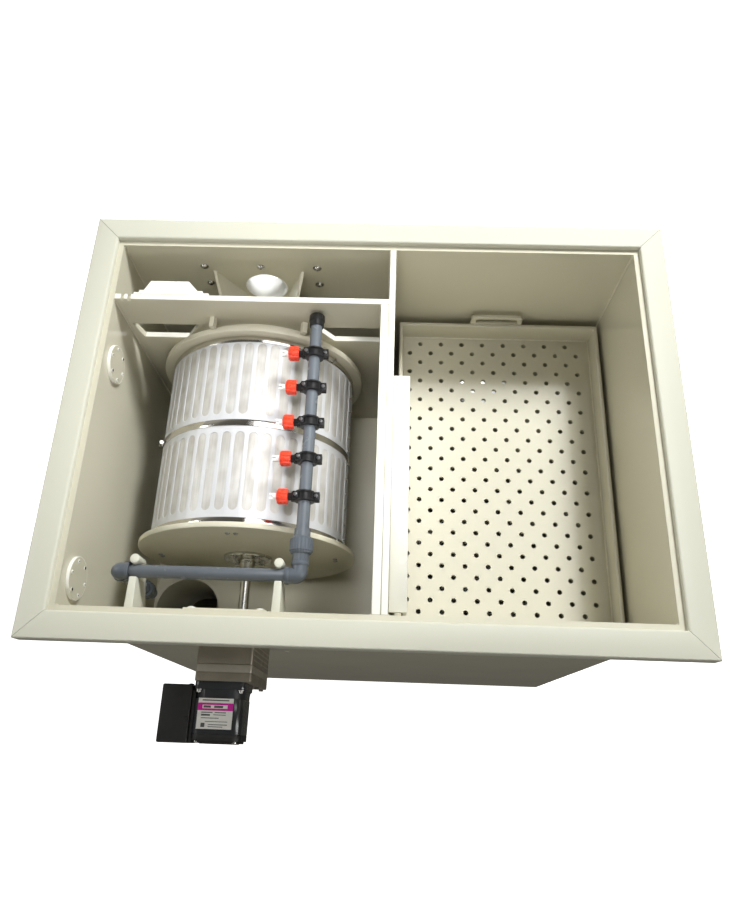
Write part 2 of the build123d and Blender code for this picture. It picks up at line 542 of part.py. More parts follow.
def spray_bar():
    nut = rod_y(SPRAY_X, SPRAY_Z, 20, -248, -220)
    for k in range(16):
        x, z = polar(SPRAY_X, SPRAY_Z, 20.6, 22.5 * k)
        nut -= rod_y(x, z, 1.8, -247, -221)
    nut -= rod_y(SPRAY_X, SPRAY_Z, 16.5, -244, -226)
    nut -= rod_y(SPRAY_X, SPRAY_Z, FITTING_R + 0.3, -226.5, -219)
    nut -= rod_y(SPRAY_X, SPRAY_Z, PIPE_R + 0.3, -249, -243)
    save("union_nut", nut)
    pipe = tube_y(SPRAY_X, SPRAY_Z, UNION_R, PIPE_BORE, UNION_Y + 0.5, -228)
    pipe += tube_y(SPRAY_X, SPRAY_Z, FITTING_R, PIPE_BORE, -230, -205)
    pipe += tube_y(SPRAY_X, SPRAY_Z, PIPE_R, PIPE_BORE, -206, 212)
    save("spray_pipe", pipe)
    cap = rod_y(SPRAY_X, SPRAY_Z, 13.5, 196, 221)
    cap += rod_y(SPRAY_X, SPRAY_Z, 15, 208, 221)
    cap -= rod_y(SPRAY_X, SPRAY_Z, PIPE_R, 190, 212)
    save("spray_end_cap", cap)
    clamps, screws = [], []
    for index, y in enumerate(NOZZLE_Y, 1):
        clamp = rod_y(SPRAY_X, SPRAY_Z, CLAMP_R, y - CLAMP_L / 2, y + CLAMP_L / 2)
        clamp += block(SPRAY_X + 12, SPRAY_X + 26, y - 8, y + 8, SPRAY_Z - 7, SPRAY_Z + 7)
        clamp += block(SPRAY_X - 20, SPRAY_X - 10, y - 8, y + 8, SPRAY_Z - 7, SPRAY_Z + 15)
        clamp += rod_x(y, SPRAY_Z, BOSS_R, CAP_BACK_X - 3, SPRAY_X)
        clamp -= rod_y(SPRAY_X, SPRAY_Z, PIPE_R, y - 20, y + 20)
        clamp -= rod_x(y, SPRAY_Z, 3.5, CAP_BACK_X - 4, SPRAY_X)
        clamps.append(clamp)
        cap = rod_x(y, SPRAY_Z, CAP_R, CAP_BACK_X - CAP_L, CAP_BACK_X)
        for k in range(8):
            ry, rz = polar(y, SPRAY_Z, CAP_R + 1, 22.5 + 45 * k)
            cap -= rod_x(ry, rz, 3, CAP_BACK_X - CAP_L + 4, CAP_BACK_X + 1)
        cap -= rod_x(y, SPRAY_Z, BOSS_R + RUNNING, CAP_BACK_X - 3.3, CAP_BACK_X + 1)
        cap -= rod_x(y, SPRAY_Z, TIP_R, CAP_BACK_X - CAP_L - 1, CAP_BACK_X - 3)
        tip = rod_x(y, SPRAY_Z, TIP_R, CAP_BACK_X - CAP_L - TIP_L, CAP_BACK_X - 4)
        tip -= rod_x(y, SPRAY_Z, 1.2, CAP_BACK_X - CAP_L - 8, CAP_BACK_X)
        end_x = CAP_BACK_X - CAP_L - TIP_L
        tip -= block(end_x - 1, end_x + 6, y - 9, y + 9, SPRAY_Z - 0.8, SPRAY_Z + 0.8)
        save("nozzle_" + str(index), cap, tip)
        screws.append(rod_z(SPRAY_X - 15, y, 3.4, SPRAY_Z + 15, SPRAY_Z + 18))
        screws.append(rod_z(SPRAY_X + 20, y, 3.4, SPRAY_Z + 7, SPRAY_Z + 10))
    save("nozzle_clamps", *clamps)
    save("clamp_screws", *screws)


# ---------------------------------------------------------------- level switch
def level_switch():
    y0 = CROSS_Y + SHEET
    plate = prism_z([(-441, y0), (-334, y0), (-357, y0 + 30), (-430, y0 + 30)],
                    WALL_TOP - 6, WALL_TOP)
    stem_x, stem_y = -391, y0 + 15
    plate -= rod_z(stem_x, stem_y, 4, 1000, HEIGHT)
    stem = rod_z(stem_x, stem_y, 4, 1054, WALL_TOP)
    stem += rod_z(stem_x, stem_y, 7, 1050, 1054)
    stem += rod_z(stem_x, stem_y, 7, 1114, 1117)
    save("level_switch", plate, stem)
    ball = rod_z(stem_x, stem_y, 13, 1054.5, 1084.5)
    ball = fillet(ball.edges().filter_by(GeomType.CIRCLE), 5)
    save("switch_float", ball - rod_z(stem_x, stem_y, 4.3, 1000, 1100))


# ---------------------------------------------------------------- media chamber
def tray():
    x0, x1, y1 = TRAY_X0, TRAY_X1, TRAY_Y
    floor = Pos((x0 + x1) / 2, 0) * Rectangle(x1 - x0, 2 * y1)
    spots = []
    half = HOLE_PITCH / 2
    for row in range(-3, 30):
        y = HOLE_Y + half * row
        for k in range(-4, 12):
            x = HOLE_X + HOLE_PITCH * k + (half if row % 2 else 0)
            if x0 + 16 < x < x1 - 16 and abs(y) < y1 - 18:
                spots.append(Pos(x, y) * Circle(HOLE_R))
    plate = extrude(Pos(0, 0, TRAY_Z - TRAY_T) * (floor - spots), TRAY_T)
    save("tray_floor", plate)
    top = TRAY_Z + TRAY_H
    walls = [block(x0, x0 + TRAY_WALL, -y1, y1, TRAY_Z, top),
             block(x1 - TRAY_WALL, x1, -y1, y1, TRAY_Z, top)]
    for sign in (-1, 1):
        walls.append(block(x0 + TRAY_WALL, x1 - TRAY_WALL, sign * y1, sign * (y1 - TRAY_WALL),
                           TRAY_Z, top))
    for sign in (-1, 1):
        grip = Rectangle(HANDLE_W, HANDLE_H)
        grip = fillet(grip.vertices().group_by(Axis.Y)[-1], 10)
        grip -= Pos(0, 7) * SlotOverall(HANDLE_W - 22, 14)
        solid = extrude(Plane.XZ * grip, HANDLE_T / 2, both=True)
        y = sign * (y1 + HANDLE_T / 2)
        walls.append(Pos(HANDLE_X, y, top - HANDLE_H / 2 + 24) * solid)
    save("tray_frame", *walls)
    ledges = []
    for sign in (-1, 1):
        ledges.append(block(x0, x1, sign * IN_Y, sign * (IN_Y - 34), TRAY_Z - TRAY_T - 15,
                            TRAY_Z - TRAY_T))
    save("tray_ledges", *ledges)


tank_shell()
inner_walls()
trough_and_pipes()
blanking_discs()
drum()
rollers()
front_bearing()
gearmotor()
terminal_box()
supply_line()
arms()
spray_bar()
level_switch()
tray()
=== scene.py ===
import bmesh
import bpy
import json
from math import cos, pi, radians, sin, sqrt
from mathutils import Matrix, Vector, noise

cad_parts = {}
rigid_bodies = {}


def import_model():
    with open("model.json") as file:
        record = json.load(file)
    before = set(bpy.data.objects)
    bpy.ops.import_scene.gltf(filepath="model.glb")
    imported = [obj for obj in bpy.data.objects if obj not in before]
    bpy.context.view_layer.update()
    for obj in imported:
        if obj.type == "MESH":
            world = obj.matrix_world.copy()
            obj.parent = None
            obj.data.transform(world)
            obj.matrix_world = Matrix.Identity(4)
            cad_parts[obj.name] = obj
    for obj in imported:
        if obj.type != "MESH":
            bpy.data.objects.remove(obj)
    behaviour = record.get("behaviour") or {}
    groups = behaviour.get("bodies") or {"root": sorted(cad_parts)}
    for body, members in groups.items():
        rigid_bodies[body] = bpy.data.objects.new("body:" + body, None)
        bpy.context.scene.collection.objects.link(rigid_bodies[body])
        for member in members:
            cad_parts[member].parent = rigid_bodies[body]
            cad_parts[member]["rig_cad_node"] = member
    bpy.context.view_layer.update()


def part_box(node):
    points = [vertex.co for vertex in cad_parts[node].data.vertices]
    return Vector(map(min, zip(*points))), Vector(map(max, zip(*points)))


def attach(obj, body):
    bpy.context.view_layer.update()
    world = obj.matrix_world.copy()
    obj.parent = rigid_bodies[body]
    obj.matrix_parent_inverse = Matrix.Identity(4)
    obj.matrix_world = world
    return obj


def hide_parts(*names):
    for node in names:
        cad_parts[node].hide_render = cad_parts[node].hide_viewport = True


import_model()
scene = bpy.context.scene
MM = 0.001
LEFT, FRONT, BACK, UP = (-1, 0, 0), (0, -1, 0), (0, 1, 0), (0, 0, 1)


# ---- helpers: numbers
def box_mm(node):
    """Lowest and highest corner of a CAD node, in millimetres."""
    low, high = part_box(node)
    return low / MM, high / MM


def circle(cx, cy, r, n=48, start=0.0):
    return [(cx + r * cos(start + 2 * pi * k / n),
             cy + r * sin(start + 2 * pi * k / n)) for k in range(n)]


def rounded(x0, x1, y0, y1, r, n=5):
    """Rectangle outline with rounded corners."""
    points = []
    for cx, cy, a0 in ((x1 - r, y0 + r, -90), (x1 - r, y1 - r, 0), (x0 + r, y1 - r, 90),
                       (x0 + r, y0 + r, 180)):
        for k in range(n + 1):
            a = radians(a0 + 90 * k / n)
            points.append((cx + r * cos(a), cy + r * sin(a)))
    return points


def ring(inner, outer, t0, t1, edge=1.0):
    """Closed section of a ring with softened corners, as (radius, along the axis)."""
    e = edge
    h = e * 0.3
    points = [(outer - e, t0), (outer - h, t0 + h), (outer, t0 + e),
              (outer, t1 - e), (outer - h, t1 - h), (outer - e, t1)]
    if inner <= 0:
        return [(0, t0)] + points + [(0, t1)]
    return points + [(inner + e, t1), (inner + h, t1 - h), (inner, t1 - e),
                     (inner, t0 + e), (inner + h, t0 + h), (inner + e, t0)]


def hexed(limit):
    """Radius rule: everything wider than the limit becomes a hexagon."""
    flat = pi / 3
    return lambda a, r, t: r * cos(flat / 2) / cos((a % flat) - flat / 2) if r > limit else r


def fluted(count, depth, limit):
    """Radius rule: flutes round everything wider than the limit."""
    return lambda a, r, t: r + depth * (0.5 + 0.5 * cos(count * a)) if r > limit else r


def corners(cx, cy, reach):
    """Four points at the corners of a square."""
    return [(cx + sx * reach, cy + sy * reach) for sx in (-1, 1) for sy in (-1, 1)]


# ---- helpers: pieces
def soften(part, edges, offset, segments=2):
    """Rounds the given edges of a shape."""
    bmesh.ops.bevel(part, geom=edges, offset=offset, segments=segments, profile=0.5,
                    affect="EDGES", clamp_overlap=True)


PLANES = {
    "xy": lambda a, b, t: (a, b, t),
    "xz": lambda a, b, t: (a, t, b),
    "yz": lambda a, b, t: (t, a, b),
}


class Piece:
    """Collects shapes given in millimetres into one object."""

    def __init__(self, name):
        self.name = name
        self.bm = bmesh.new()
        self.materials = []

    def absorb(self, part, material):
        """Takes in one closed shape with its material."""
        if material not in self.materials:
            self.materials.append(material)
        bmesh.ops.remove_doubles(part, verts=part.verts, dist=1e-4)
        bmesh.ops.recalc_face_normals(part, faces=part.faces)
        index = self.materials.index(material)
        for face in part.faces:
            face.material_index = index
        mesh = bpy.data.meshes.new("part")
        part.to_mesh(mesh)
        part.free()
        self.bm.from_mesh(mesh)
        bpy.data.meshes.remove(mesh)

    def shape(self, verts, faces, material, edge=0.0):
        part = bmesh.new()
        made = [part.verts.new(v) for v in verts]
        for face in faces:
            part.faces.new([made[i] for i in face])
        if edge:
            soften(part, list(part.edges), edge)
        self.absorb(part, material)

    def box(self, low, high, material, edge=1.2, segments=2, turn=None):
        part = bmesh.new()
        size = [h - l for l, h in zip(low, high)]
        centre = [(h + l) / 2 for l, h in zip(low, high)]
        bmesh.ops.create_cube(part, size=1)
        bmesh.ops.scale(part, vec=size, verts=part.verts)
        if edge:
            soften(part, list(part.edges), edge, segments)
        if turn is not None:
            bmesh.ops.transform(part, matrix=turn, verts=part.verts)
        bmesh.ops.translate(part, vec=centre, verts=part.verts)
        self.absorb(part, material)

    def prism(self, outline, t0, t1, plane, material, edge=1.0, segments=2):
        """Outline without holes, given thickness across its plane, with softened edges."""
        part = bmesh.new()
        place = PLANES[plane]
        low = [part.verts.new(place(a, b, t0)) for a, b in outline]
        high = [part.verts.new(place(a, b, t1)) for a, b in outline]
        part.faces.new(low)
        part.faces.new(list(reversed(high)))
        n = len(outline)
        for k in range(n):
            part.faces.new([low[k], high[k], high[(k + 1) % n], low[(k + 1) % n]])
        bmesh.ops.recalc_face_normals(part, faces=part.faces)
        if edge:
            sharp = [e for e in part.edges if e.calc_face_angle(0) > radians(25)]
            soften(part, sharp, edge, segments)
        self.absorb(part, material)

    def plate(self, outlines, t0, t1, plane, material, edge=0.8):
        """Sheet with holes: the first outline is the outside, the others are holes."""
        curve = bpy.data.curves.new("outline", "CURVE")
        curve.dimensions = "2D"
        curve.fill_mode = "BOTH"
        for k, points in enumerate(outlines):
            area = sum(a[0] * b[1] - b[0] * a[1]
                       for a, b in zip(points, points[1:] + points[:1]))
            if (area > 0) != (k == 0):
                points = list(reversed(points))
            spline = curve.splines.new("POLY")
            spline.points.add(len(points) - 1)
            for target, (a, b) in zip(spline.points, points):
                target.co = (a, b, 0, 1)
            spline.use_cyclic_u = True
        curve.bevel_depth = edge
        curve.bevel_resolution = 1
        curve.offset = -edge
        curve.extrude = (t1 - t0) / 2 - edge
        holder = bpy.data.objects.new("outline", curve)
        scene.collection.objects.link(holder)
        graph = bpy.context.evaluated_depsgraph_get()
        mesh = bpy.data.meshes.new_from_object(holder.evaluated_get(graph))
        place = PLANES[plane]
        middle = (t0 + t1) / 2
        for vertex in mesh.vertices:
            vertex.co = place(vertex.co.x, vertex.co.y, middle + vertex.co.z)
        part = bmesh.new()
        part.from_mesh(mesh)
        bpy.data.objects.remove(holder)
        bpy.data.curves.remove(curve)
        bpy.data.meshes.remove(mesh)
        self.absorb(part, material)

    def lathe(self, section, origin, axis, material, n=48, wave=None):
        """Closed section of (radius, along) turned about an axis through the origin point."""
        part = bmesh.new()
        turn = Vector((0, 0, 1)).rotation_difference(Vector(axis)).to_matrix()
        base = Vector(origin)
        rings = []
        for k in range(n):
            a = 2 * pi * k / n
            row = []
            for r, t in section:
                radius = r if wave is None else wave(a, r, t)
                local = Vector((radius * cos(a), radius * sin(a), t))
                row.append(part.verts.new(base + turn @ local))
            rings.append(row)
        m = len(section)
        open_section = section[0][0] == 0 and section[-1][0] == 0
        last = m - 1 if open_section else m
        for k in range(n):
            now, then = rings[k], rings[(k + 1) % n]
            for i in range(last):
                j = (i + 1) % m
                part.faces.new([now[i], then[i], then[j], now[j]])
        self.absorb(part, material)

    def hexagon(self, across, t0, t1, origin, axis, material, edge=0.6):
        """Hexagonal head or nut with a turned chamfer."""
        r = across / sqrt(3)
        section = [(0, t0), (r - edge, t0), (r, t0 + edge), (r, t1 - edge), (r - edge, t1),
                   (0, t1)]
        self.lathe(section, origin, axis, material, 24, hexed(r * 0.8))

    def tube(self, points, radius, material, ripple, step, n=10):
        """Round bead along a broken line, with an uneven radius."""
        for start, end in zip(points, points[1:]):
            a, b = Vector(start), Vector(end)
            length = (b - a).length
            count = max(2, int(length / step))
            section = [(0, 0)]
            for k in range(count + 1):
                t = length * k / count
                wobble = noise.noise(Vector((a.x * 0.1 + t * 0.11, a.y * 0.1, b.z * 0.1)))
                section.append((max(0.2, radius * (1 + ripple * wobble)), t))
            section.append((0, length))
            self.lathe(section, a, (b - a).normalized(), material, n=n)

    def done(self, body, slot, *nodes, smooth=32):
        mesh = bpy.data.meshes.new(self.name)
        bmesh.ops.scale(self.bm, vec=(MM, MM, MM), verts=self.bm.verts)
        self.bm.to_mesh(mesh)
        self.bm.free()
        for material in self.materials:
            mesh.materials.append(material)
        mesh.shade_smooth()
        mesh.set_sharp_from_angle(angle=radians(smooth))
        obj = bpy.data.objects.new(self.name, mesh)
        scene.collection.objects.link(obj)
        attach(obj, body)
        if nodes:
            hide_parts(*nodes)
        return obj


# ---- materials
def new_material(name):
    material = bpy.data.materials.new(name)
    material.use_nodes = True
    tree = material.node_tree
    return material, tree, tree.nodes["Principled BSDF"]


def noise_node(tree, scale, detail=3.0, stretch=(1, 1, 1), rough=0.5):
    """Noise in object space; stretch below 1 draws it out along that axis."""
    coords = tree.nodes.new("ShaderNodeTexCoord")
    mapping = tree.nodes.new("ShaderNodeMapping")
    mapping.inputs["Scale"].default_value = stretch
    texture = tree.nodes.new("ShaderNodeTexNoise")
    texture.inputs["Scale"].default_value = scale
    texture.inputs["Detail"].default_value = detail
    texture.inputs["Roughness"].default_value = rough
    tree.links.new(coords.outputs["Object"], mapping.inputs["Vector"])
    tree.links.new(mapping.outputs["Vector"], texture.inputs["Vector"])
    return texture.outputs["Fac"]


def ramp(tree, source, low, high, a=0.35, b=0.65):
    node = tree.nodes.new("ShaderNodeValToRGB")
    node.color_ramp.elements[0].position = a
    node.color_ramp.elements[0].color = low
    node.color_ramp.elements[1].position = b
    node.color_ramp.elements[1].color = high
    tree.links.new(source, node.inputs["Fac"])
    return node.outputs["Color"]


def bump(tree, source, strength, distance, shader, before=None):
    node = tree.nodes.new("ShaderNodeBump")
    node.inputs["Strength"].default_value = strength
    node.inputs["Distance"].default_value = distance
    tree.links.new(source, node.inputs["Height"])
    if before is not None:
        tree.links.new(before, node.inputs["Normal"])
    tree.links.new(node.outputs["Normal"], shader.inputs["Normal"])
    return node.outputs["Normal"]


def plain(name, colour, rough=0.4, vary=0.06, rough_vary=0.08, scale=6.0, metal=0.0,
          grain=0.0, grain_scale=900.0, wave=0.0, wave_scale=9.0, coat=0.0,
          stretch=(1, 1, 1), specular=0.5):
    """Material with soft colour and gloss variation, a fine grain and a slow waviness."""
    material, tree, shader = new_material(name)
    low = [c * (1 - vary) for c in colour] + [1]
    high = [min(1, c * (1 + vary)) for c in colour] + [1]
    source = noise_node(tree, scale, 4, stretch)
    tree.links.new(ramp(tree, source, low, high), shader.inputs["Base Color"])
    r0, r1 = max(0.02, rough - rough_vary), rough + rough_vary
    patches = noise_node(tree, scale * 2.7, 3, stretch)
    tree.links.new(ramp(tree, patches, (r0, r0, r0, 1), (r1, r1, r1, 1)),
              shader.inputs["Roughness"])
    shader.inputs["Metallic"].default_value = metal
    shader.inputs["Specular IOR Level"].default_value = specular
    if coat:
        shader.inputs["Coat Weight"].default_value = coat
        shader.inputs["Coat Roughness"].default_value = 0.12
    before = None
    if wave:
        slow = noise_node(tree, wave_scale, 1, stretch)
        before = bump(tree, slow, wave, 0.01, shader)
    if grain:
        fine = noise_node(tree, grain_scale, 2, stretch)
        bump(tree, fine, grain, 0.0004, shader, before)
    return material


SHEET = plain("sheet", (0.635, 0.607, 0.487), 0.11, 0.012, 0.02, 3, grain=0.04,
              grain_scale=500, wave=0.03, wave_scale=4)
RIM = plain("rim", (0.635, 0.63, 0.535), 0.30, 0.008, 0.015, 3, grain=0.10, grain_scale=500)
# Whiter sheet on the top-facing cut edges: partly a lighter cut edge, partly a painted highlight
# where the tops catch the light.
CUT_EDGE_PAINTED_HIGHLIGHT = plain("cut_edge", (0.86, 0.85, 0.79), 0.45, 0.02, 0.05, 40, grain=0.4, grain_scale=900)
BEAD = plain("weld_bead", (0.66, 0.63, 0.51), 0.35, 0.05, 0.08, 60, grain=0.3,
             grain_scale=300)
DISC = plain("drum_disc", (0.63, 0.60, 0.48), 0.38, 0.03, 0.05, 8, grain=0.15)
STUB = plain("white_stub", (0.86, 0.86, 0.84), 0.35, 0.02, 0.05, 12)
STEEL = plain("steel", (0.62, 0.61, 0.58), 0.22, 0.05, 0.08, 30, metal=1.0,
              stretch=(1, 0.1, 1), grain=0.1)
BAND = plain("polished_band", (0.66, 0.64, 0.60), 0.12, 0.04, 0.05, 25, metal=1.0,
             wave=0.25, wave_scale=18)
CAGE = plain("cage_steel", (0.66, 0.668, 0.69), 0.44, 0.02, 0.05, 20, metal=0.3,
             grain=0.2, wave=0.15, wave_scale=14)
RUBBER = plain("rubber", (0.02, 0.02, 0.02), 0.6, 0.1, 0.08, 40, grain=0.4)
NYLON = plain("nylon", (0.78, 0.77, 0.72), 0.45, 0.03, 0.06, 30, grain=0.2)
PIPE = plain("pipe_grey", (0.115, 0.130, 0.148), 0.26, 0.03, 0.015, 14, grain=0.12)
FITTING = plain("fitting_grey", (0.092, 0.108, 0.128), 0.32, 0.03, 0.02, 30, grain=0.2)
BLACK = plain("clamp_black", (0.010, 0.010, 0.011), 0.36, 0.2, 0.08, 50, grain=0.3)
RED = plain("nozzle_red", (0.80, 0.055, 0.022), 0.30, 0.06, 0.06, 60, grain=0.15)
TIP = plain("nozzle_tip", (0.88, 0.87, 0.84), 0.35, 0.03, 0.05, 60)
CASTING = plain("gearbox_casting", (0.28, 0.25, 0.20), 0.48, 0.08, 0.08, 20, metal=0.35,
                grain=0.5, grain_scale=700)
# Lighter copy of the casting colour: painted light on the side ribs and on one cover plate.
CASTING_PAINTED_LIT = plain("gearbox_side", (0.42, 0.39, 0.33), 0.42, 0.08, 0.08, 20,
                      metal=0.35, grain=0.5, grain_scale=700)
MOTOR = plain("motor_black", (0.035, 0.038, 0.044), 0.20, 0.1, 0.05, 12, grain=0.08,
              coat=0.4)
BOX = plain("box_black", (0.012, 0.012, 0.012), 0.52, 0.15, 0.06, 30, grain=0.6,
            grain_scale=1100)
GEAR = plain("gear_steel", (0.35, 0.35, 0.36), 0.35, 0.08, 0.1, 40, metal=1.0)
WINDING = plain("winding", (0.45, 0.18, 0.07), 0.4, 0.2, 0.1, 200, metal=0.6,
                stretch=(1, 0.05, 1))
LABEL = plain("label_silver", (0.93, 0.92, 0.89), 0.38, 0.03, 0.05, 30, metal=0.1)
# Lighter copy of the sheet colour for the hood: painted light on its lit top.
HOOD_PAINTED_LIT = plain("hood_sheet", (0.76, 0.75, 0.67), 0.24, 0.02, 0.04, 4, grain=0.06,
             grain_scale=500)
LABEL_PINK = plain("label_magenta", (0.72, 0.01, 0.40), 0.36, 0.04, 0.05, 30)
LABEL_INK = plain("label_ink", (0.10, 0.10, 0.10), 0.5, 0.1, 0.05, 30)
# Near-black discs in the screw heads' sockets: painted shade in the recesses.
SOCKET_PAINTED_SHADE = plain("recess_dark", (0.02, 0.018, 0.012), 0.7, 0.1, 0.05, 30)


def mesh_cloth():
    """Fine woven screen, its colour carrying painted lighter and darker patches of sheen, as where
    it bellies between the slots.
    """
    material, tree, shader = new_material("filter_cloth")
    # painted sheen: lighter and darker patches of the colour
    patches = noise_node(tree, 30, 2, (1.0, 0.9, 1.4), 0.4)
    sheen_patch_tone = ramp(tree, patches, (0.54, 0.52, 0.485, 1), (0.66, 0.65, 0.62, 1), 0.34, 0.64)
    weave = noise_node(tree, 260, 2, (1, 0.06, 1))
    mix = tree.nodes.new("ShaderNodeMix")
    mix.data_type = "RGBA"
    mix.blend_type = "MULTIPLY"
    mix.inputs["Factor"].default_value = 0.35
    tree.links.new(sheen_patch_tone, mix.inputs["A"])
    tree.links.new(ramp(tree, weave, (0.7, 0.7, 0.7, 1), (1, 1, 1, 1)), mix.inputs["B"])
    tree.links.new(mix.outputs["Result"], shader.inputs["Base Color"])
    shader.inputs["Metallic"].default_value = 0.3
    shader.inputs["Roughness"].default_value = 0.38
    slow = noise_node(tree, 30, 1, (1.2, 0.8, 1.2))
    before = bump(tree, slow, 0.5, 0.006, shader)
    bump(tree, weave, 0.3, 0.0004, shader, before)
    return material


CLOTH = mesh_cloth()


def dress(node, material):
    """Gives a CAD node that shows as it is its material."""
    obj = next(o for o in bpy.data.objects if o.get("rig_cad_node") == node)
    obj.data.materials.clear()
    obj.data.materials.append(material)


# ---- tank
wall_low, wall_high = box_mm("front_wall")
back_low, back_high = box_mm("back_wall")
rim_low, rim_high = box_mm("rim_frame")
SKIN = 10                                   # thickness of the outer walls
IN_X, IN_Y = back_high.x - SKIN, back_low.y
WALL_TOP = wall_high.z


def make_rim():
    piece = Piece("rim_bars")
    width = rim_high.x - wall_high.x
    z0, z1 = rim_low.z, rim_high.z
    section = []
    for cx, cz, a0, r in ((4.5, z1 - 4.5, 180, 4.5), (width - 2.5, z1 - 2.5, 90, 2.5),
                          (width - 2, z0 + 2, 0, 2), (2, z0 + 2, -90, 2)):
        for k in range(5):
            a = radians(a0 - 90 * k / 4)
            section.append((cx + r * cos(a), cz + r * sin(a)))
    gap = 0.45                              # half the joint at each mitre
    along_x, along_y = (wall_high.x, back_high.y), (back_high.y, wall_high.x)
    for turn, (half, offset) in ((0, along_x), (180, along_x), (90, along_y), (-90, along_y)):
        spin = Matrix.Rotation(radians(turn), 3, "Z")
        left = [tuple(spin @ Vector((-(half + w - gap), offset + w, z))) for w, z in section]
        right = [tuple(spin @ Vector((half + w - gap, offset + w, z))) for w, z in section]
        m = len(section)
        faces = [[k, (k + 1) % m, m + (k + 1) % m, m + k] for k in range(m)]
        faces += [list(range(m)), list(range(2 * m - 1, m - 1, -1))]
        piece.shape(left + right, faces, RIM)
    piece.done("tank", "rim_plastic", "rim_frame")


def make_welds():
    """Extruded weld beads along the inside corners."""
    piece = Piece("weld_beads")
    divider = box_mm("divider_wall")
    x_left, x_right = divider[0].x, divider[1].x
    cross_low, cross_high = box_mm("cross_wall")
    floor_z = box_mm("raised_floor")[1].z
    bottom = box_mm("tank_floor")[1].z
    top = WALL_TOP - 3
    runs = []
    for x, y, z0 in ((-IN_X, -IN_Y, floor_z), (-IN_X, IN_Y, floor_z), (IN_X, -IN_Y, bottom),
                     (IN_X, IN_Y, bottom), (x_right, -IN_Y, bottom), (x_right, IN_Y, bottom),
                     (x_left, -IN_Y, floor_z), (x_right - 12, IN_Y, floor_z),
                     (-IN_X, cross_low.y, floor_z), (-IN_X, cross_high.y, floor_z),
                     (x_left, cross_low.y, floor_z), (x_right - 12, cross_high.y, floor_z)):
        runs.append(((x, y, z0), (x, y, top)))
    for y in (-IN_Y, cross_low.y):
        runs.append(((-IN_X, y, floor_z), (x_left, y, floor_z)))
    for x in (-IN_X, x_left):
        runs.append(((x, -IN_Y, floor_z), (x, cross_low.y, floor_z)))
    for run in runs:
        piece.tube(run, 2.6, BEAD, ripple=0.35, step=6)
    outer_z = rim_low.z
    for sx, sy in ((1, 1), (1, -1), (-1, 1), (-1, -1)):
        x, y = sx * (wall_high.x + 0.5), sy * (back_high.y + 0.5)
        for start in ((x, -y, outer_z), (-x, y, outer_z)):
            piece.tube([start, (x, y, outer_z)], 2.4, BEAD, ripple=0.3, step=6)
    piece.done("tank", "tank_sheet")


TRANSFER_SLOT_Y = (-290, -205, -120, -35, 50)


def make_divider():
    low, high = box_mm("divider_wall")
    split = high.x - 12                     # joint between the two sheets
    cross_y = box_mm("cross_wall")[0].y
    floor_z = box_mm("raised_floor")[1].z
    slots = [rounded(y - 30, y + 30, 1040, 1064, 3, 3) for y in TRANSFER_SLOT_Y]
    piece = Piece("divider_sheets")
    passage = rounded(-150, 150, 150, 450, 4, 3)
    outline = [(low.y, low.z), (high.y, low.z), (high.y, high.z), (low.y, high.z)]
    piece.plate([outline, passage] + slots, split, high.x, "yz", SHEET, 1.2)
    outline = [(low.y, floor_z), (cross_y, floor_z), (cross_y, high.z), (low.y, high.z)]
    piece.plate([outline] + slots, low.x, split, "yz", SHEET, 1.2)
    # strips on the sheets' top edges in the cut-edge colour, with its painted highlight
    for x0, x1, y1 in ((split, high.x, high.y), (low.x, split, cross_y)):
        piece.box((x0 + 1, low.y + 1, high.z - 0.6), (x1 - 1, y1 - 1, high.z + 0.25), CUT_EDGE_PAINTED_HIGHLIGHT, 0.2, 1)
    piece.done("tank", "tank_sheet", "divider_wall")


NECK_BORE_R, RING_BORE_R = 180, 183


def make_cross_wall():
    low, high = box_mm("cross_wall")
    neck_low, neck_high = box_mm("drum_neck")
    cx, cz = (neck_low.x + neck_high.x) / 2, (neck_low.z + neck_high.z) / 2
    piece = Piece("drum_wall")
    top = high.z
    outline = [(low.x, low.z), (high.x, low.z), (high.x, top)]
    for x in (-467, -479.5):                # two small notches in the top edge
        outline += [(x + 3, top), (x + 3, top - 8), (x - 3, top - 8), (x - 3, top)]
    outline.append((low.x, top))
    left = [(-475.5, 1000), (-384, 1000), (-352, 1049), (-487, 1049)]
    right = [(-83, 1000), (high.x - 15, 1000), (high.x - 15, 1049), (-121, 1049)]
    hole = circle(cx, cz, NECK_BORE_R, 96)
    piece.plate([outline, left, right, hole], low.y, high.y, "xz", SHEET, 1.0)
    # top edges, opening sills and sloped opening edges in the cut-edge colour, with its painted
    # highlight
    for x0, x1 in ((low.x + 1, -483), (-476, -470.5), (-463.5, high.x - 0.5)):
        piece.box((x0, low.y + 1, top - 0.6), (x1, high.y - 1, top + 0.25), CUT_EDGE_PAINTED_HIGHLIGHT, 0.2, 1)
    for x0, x1, z in ((-474.5, -385, 1000), (-82, high.x - 16, 1000)):
        piece.box((x0, low.y + 1, z - 0.6), (x1, high.y - 1, z + 0.25), CUT_EDGE_PAINTED_HIGHLIGHT, 0.2, 1)
    for (xa, za), (xb, zb) in ((left[1], left[2]), (right[0], right[3])):
        a, b = Vector((xa, za)), Vector((xb, zb))
        out = Vector((b - a).orthogonal()).normalized()
        out = out if out.y > 0 else -out
        strip = [a - out * 0.6, b - out * 0.6, b + out * 0.25, a + out * 0.25]
        piece.prism([tuple(p) for p in strip], low.y + 1, high.y - 1, "xz", CUT_EDGE_PAINTED_HIGHLIGHT, 0)
    piece.done("tank", "tank_sheet", "cross_wall")


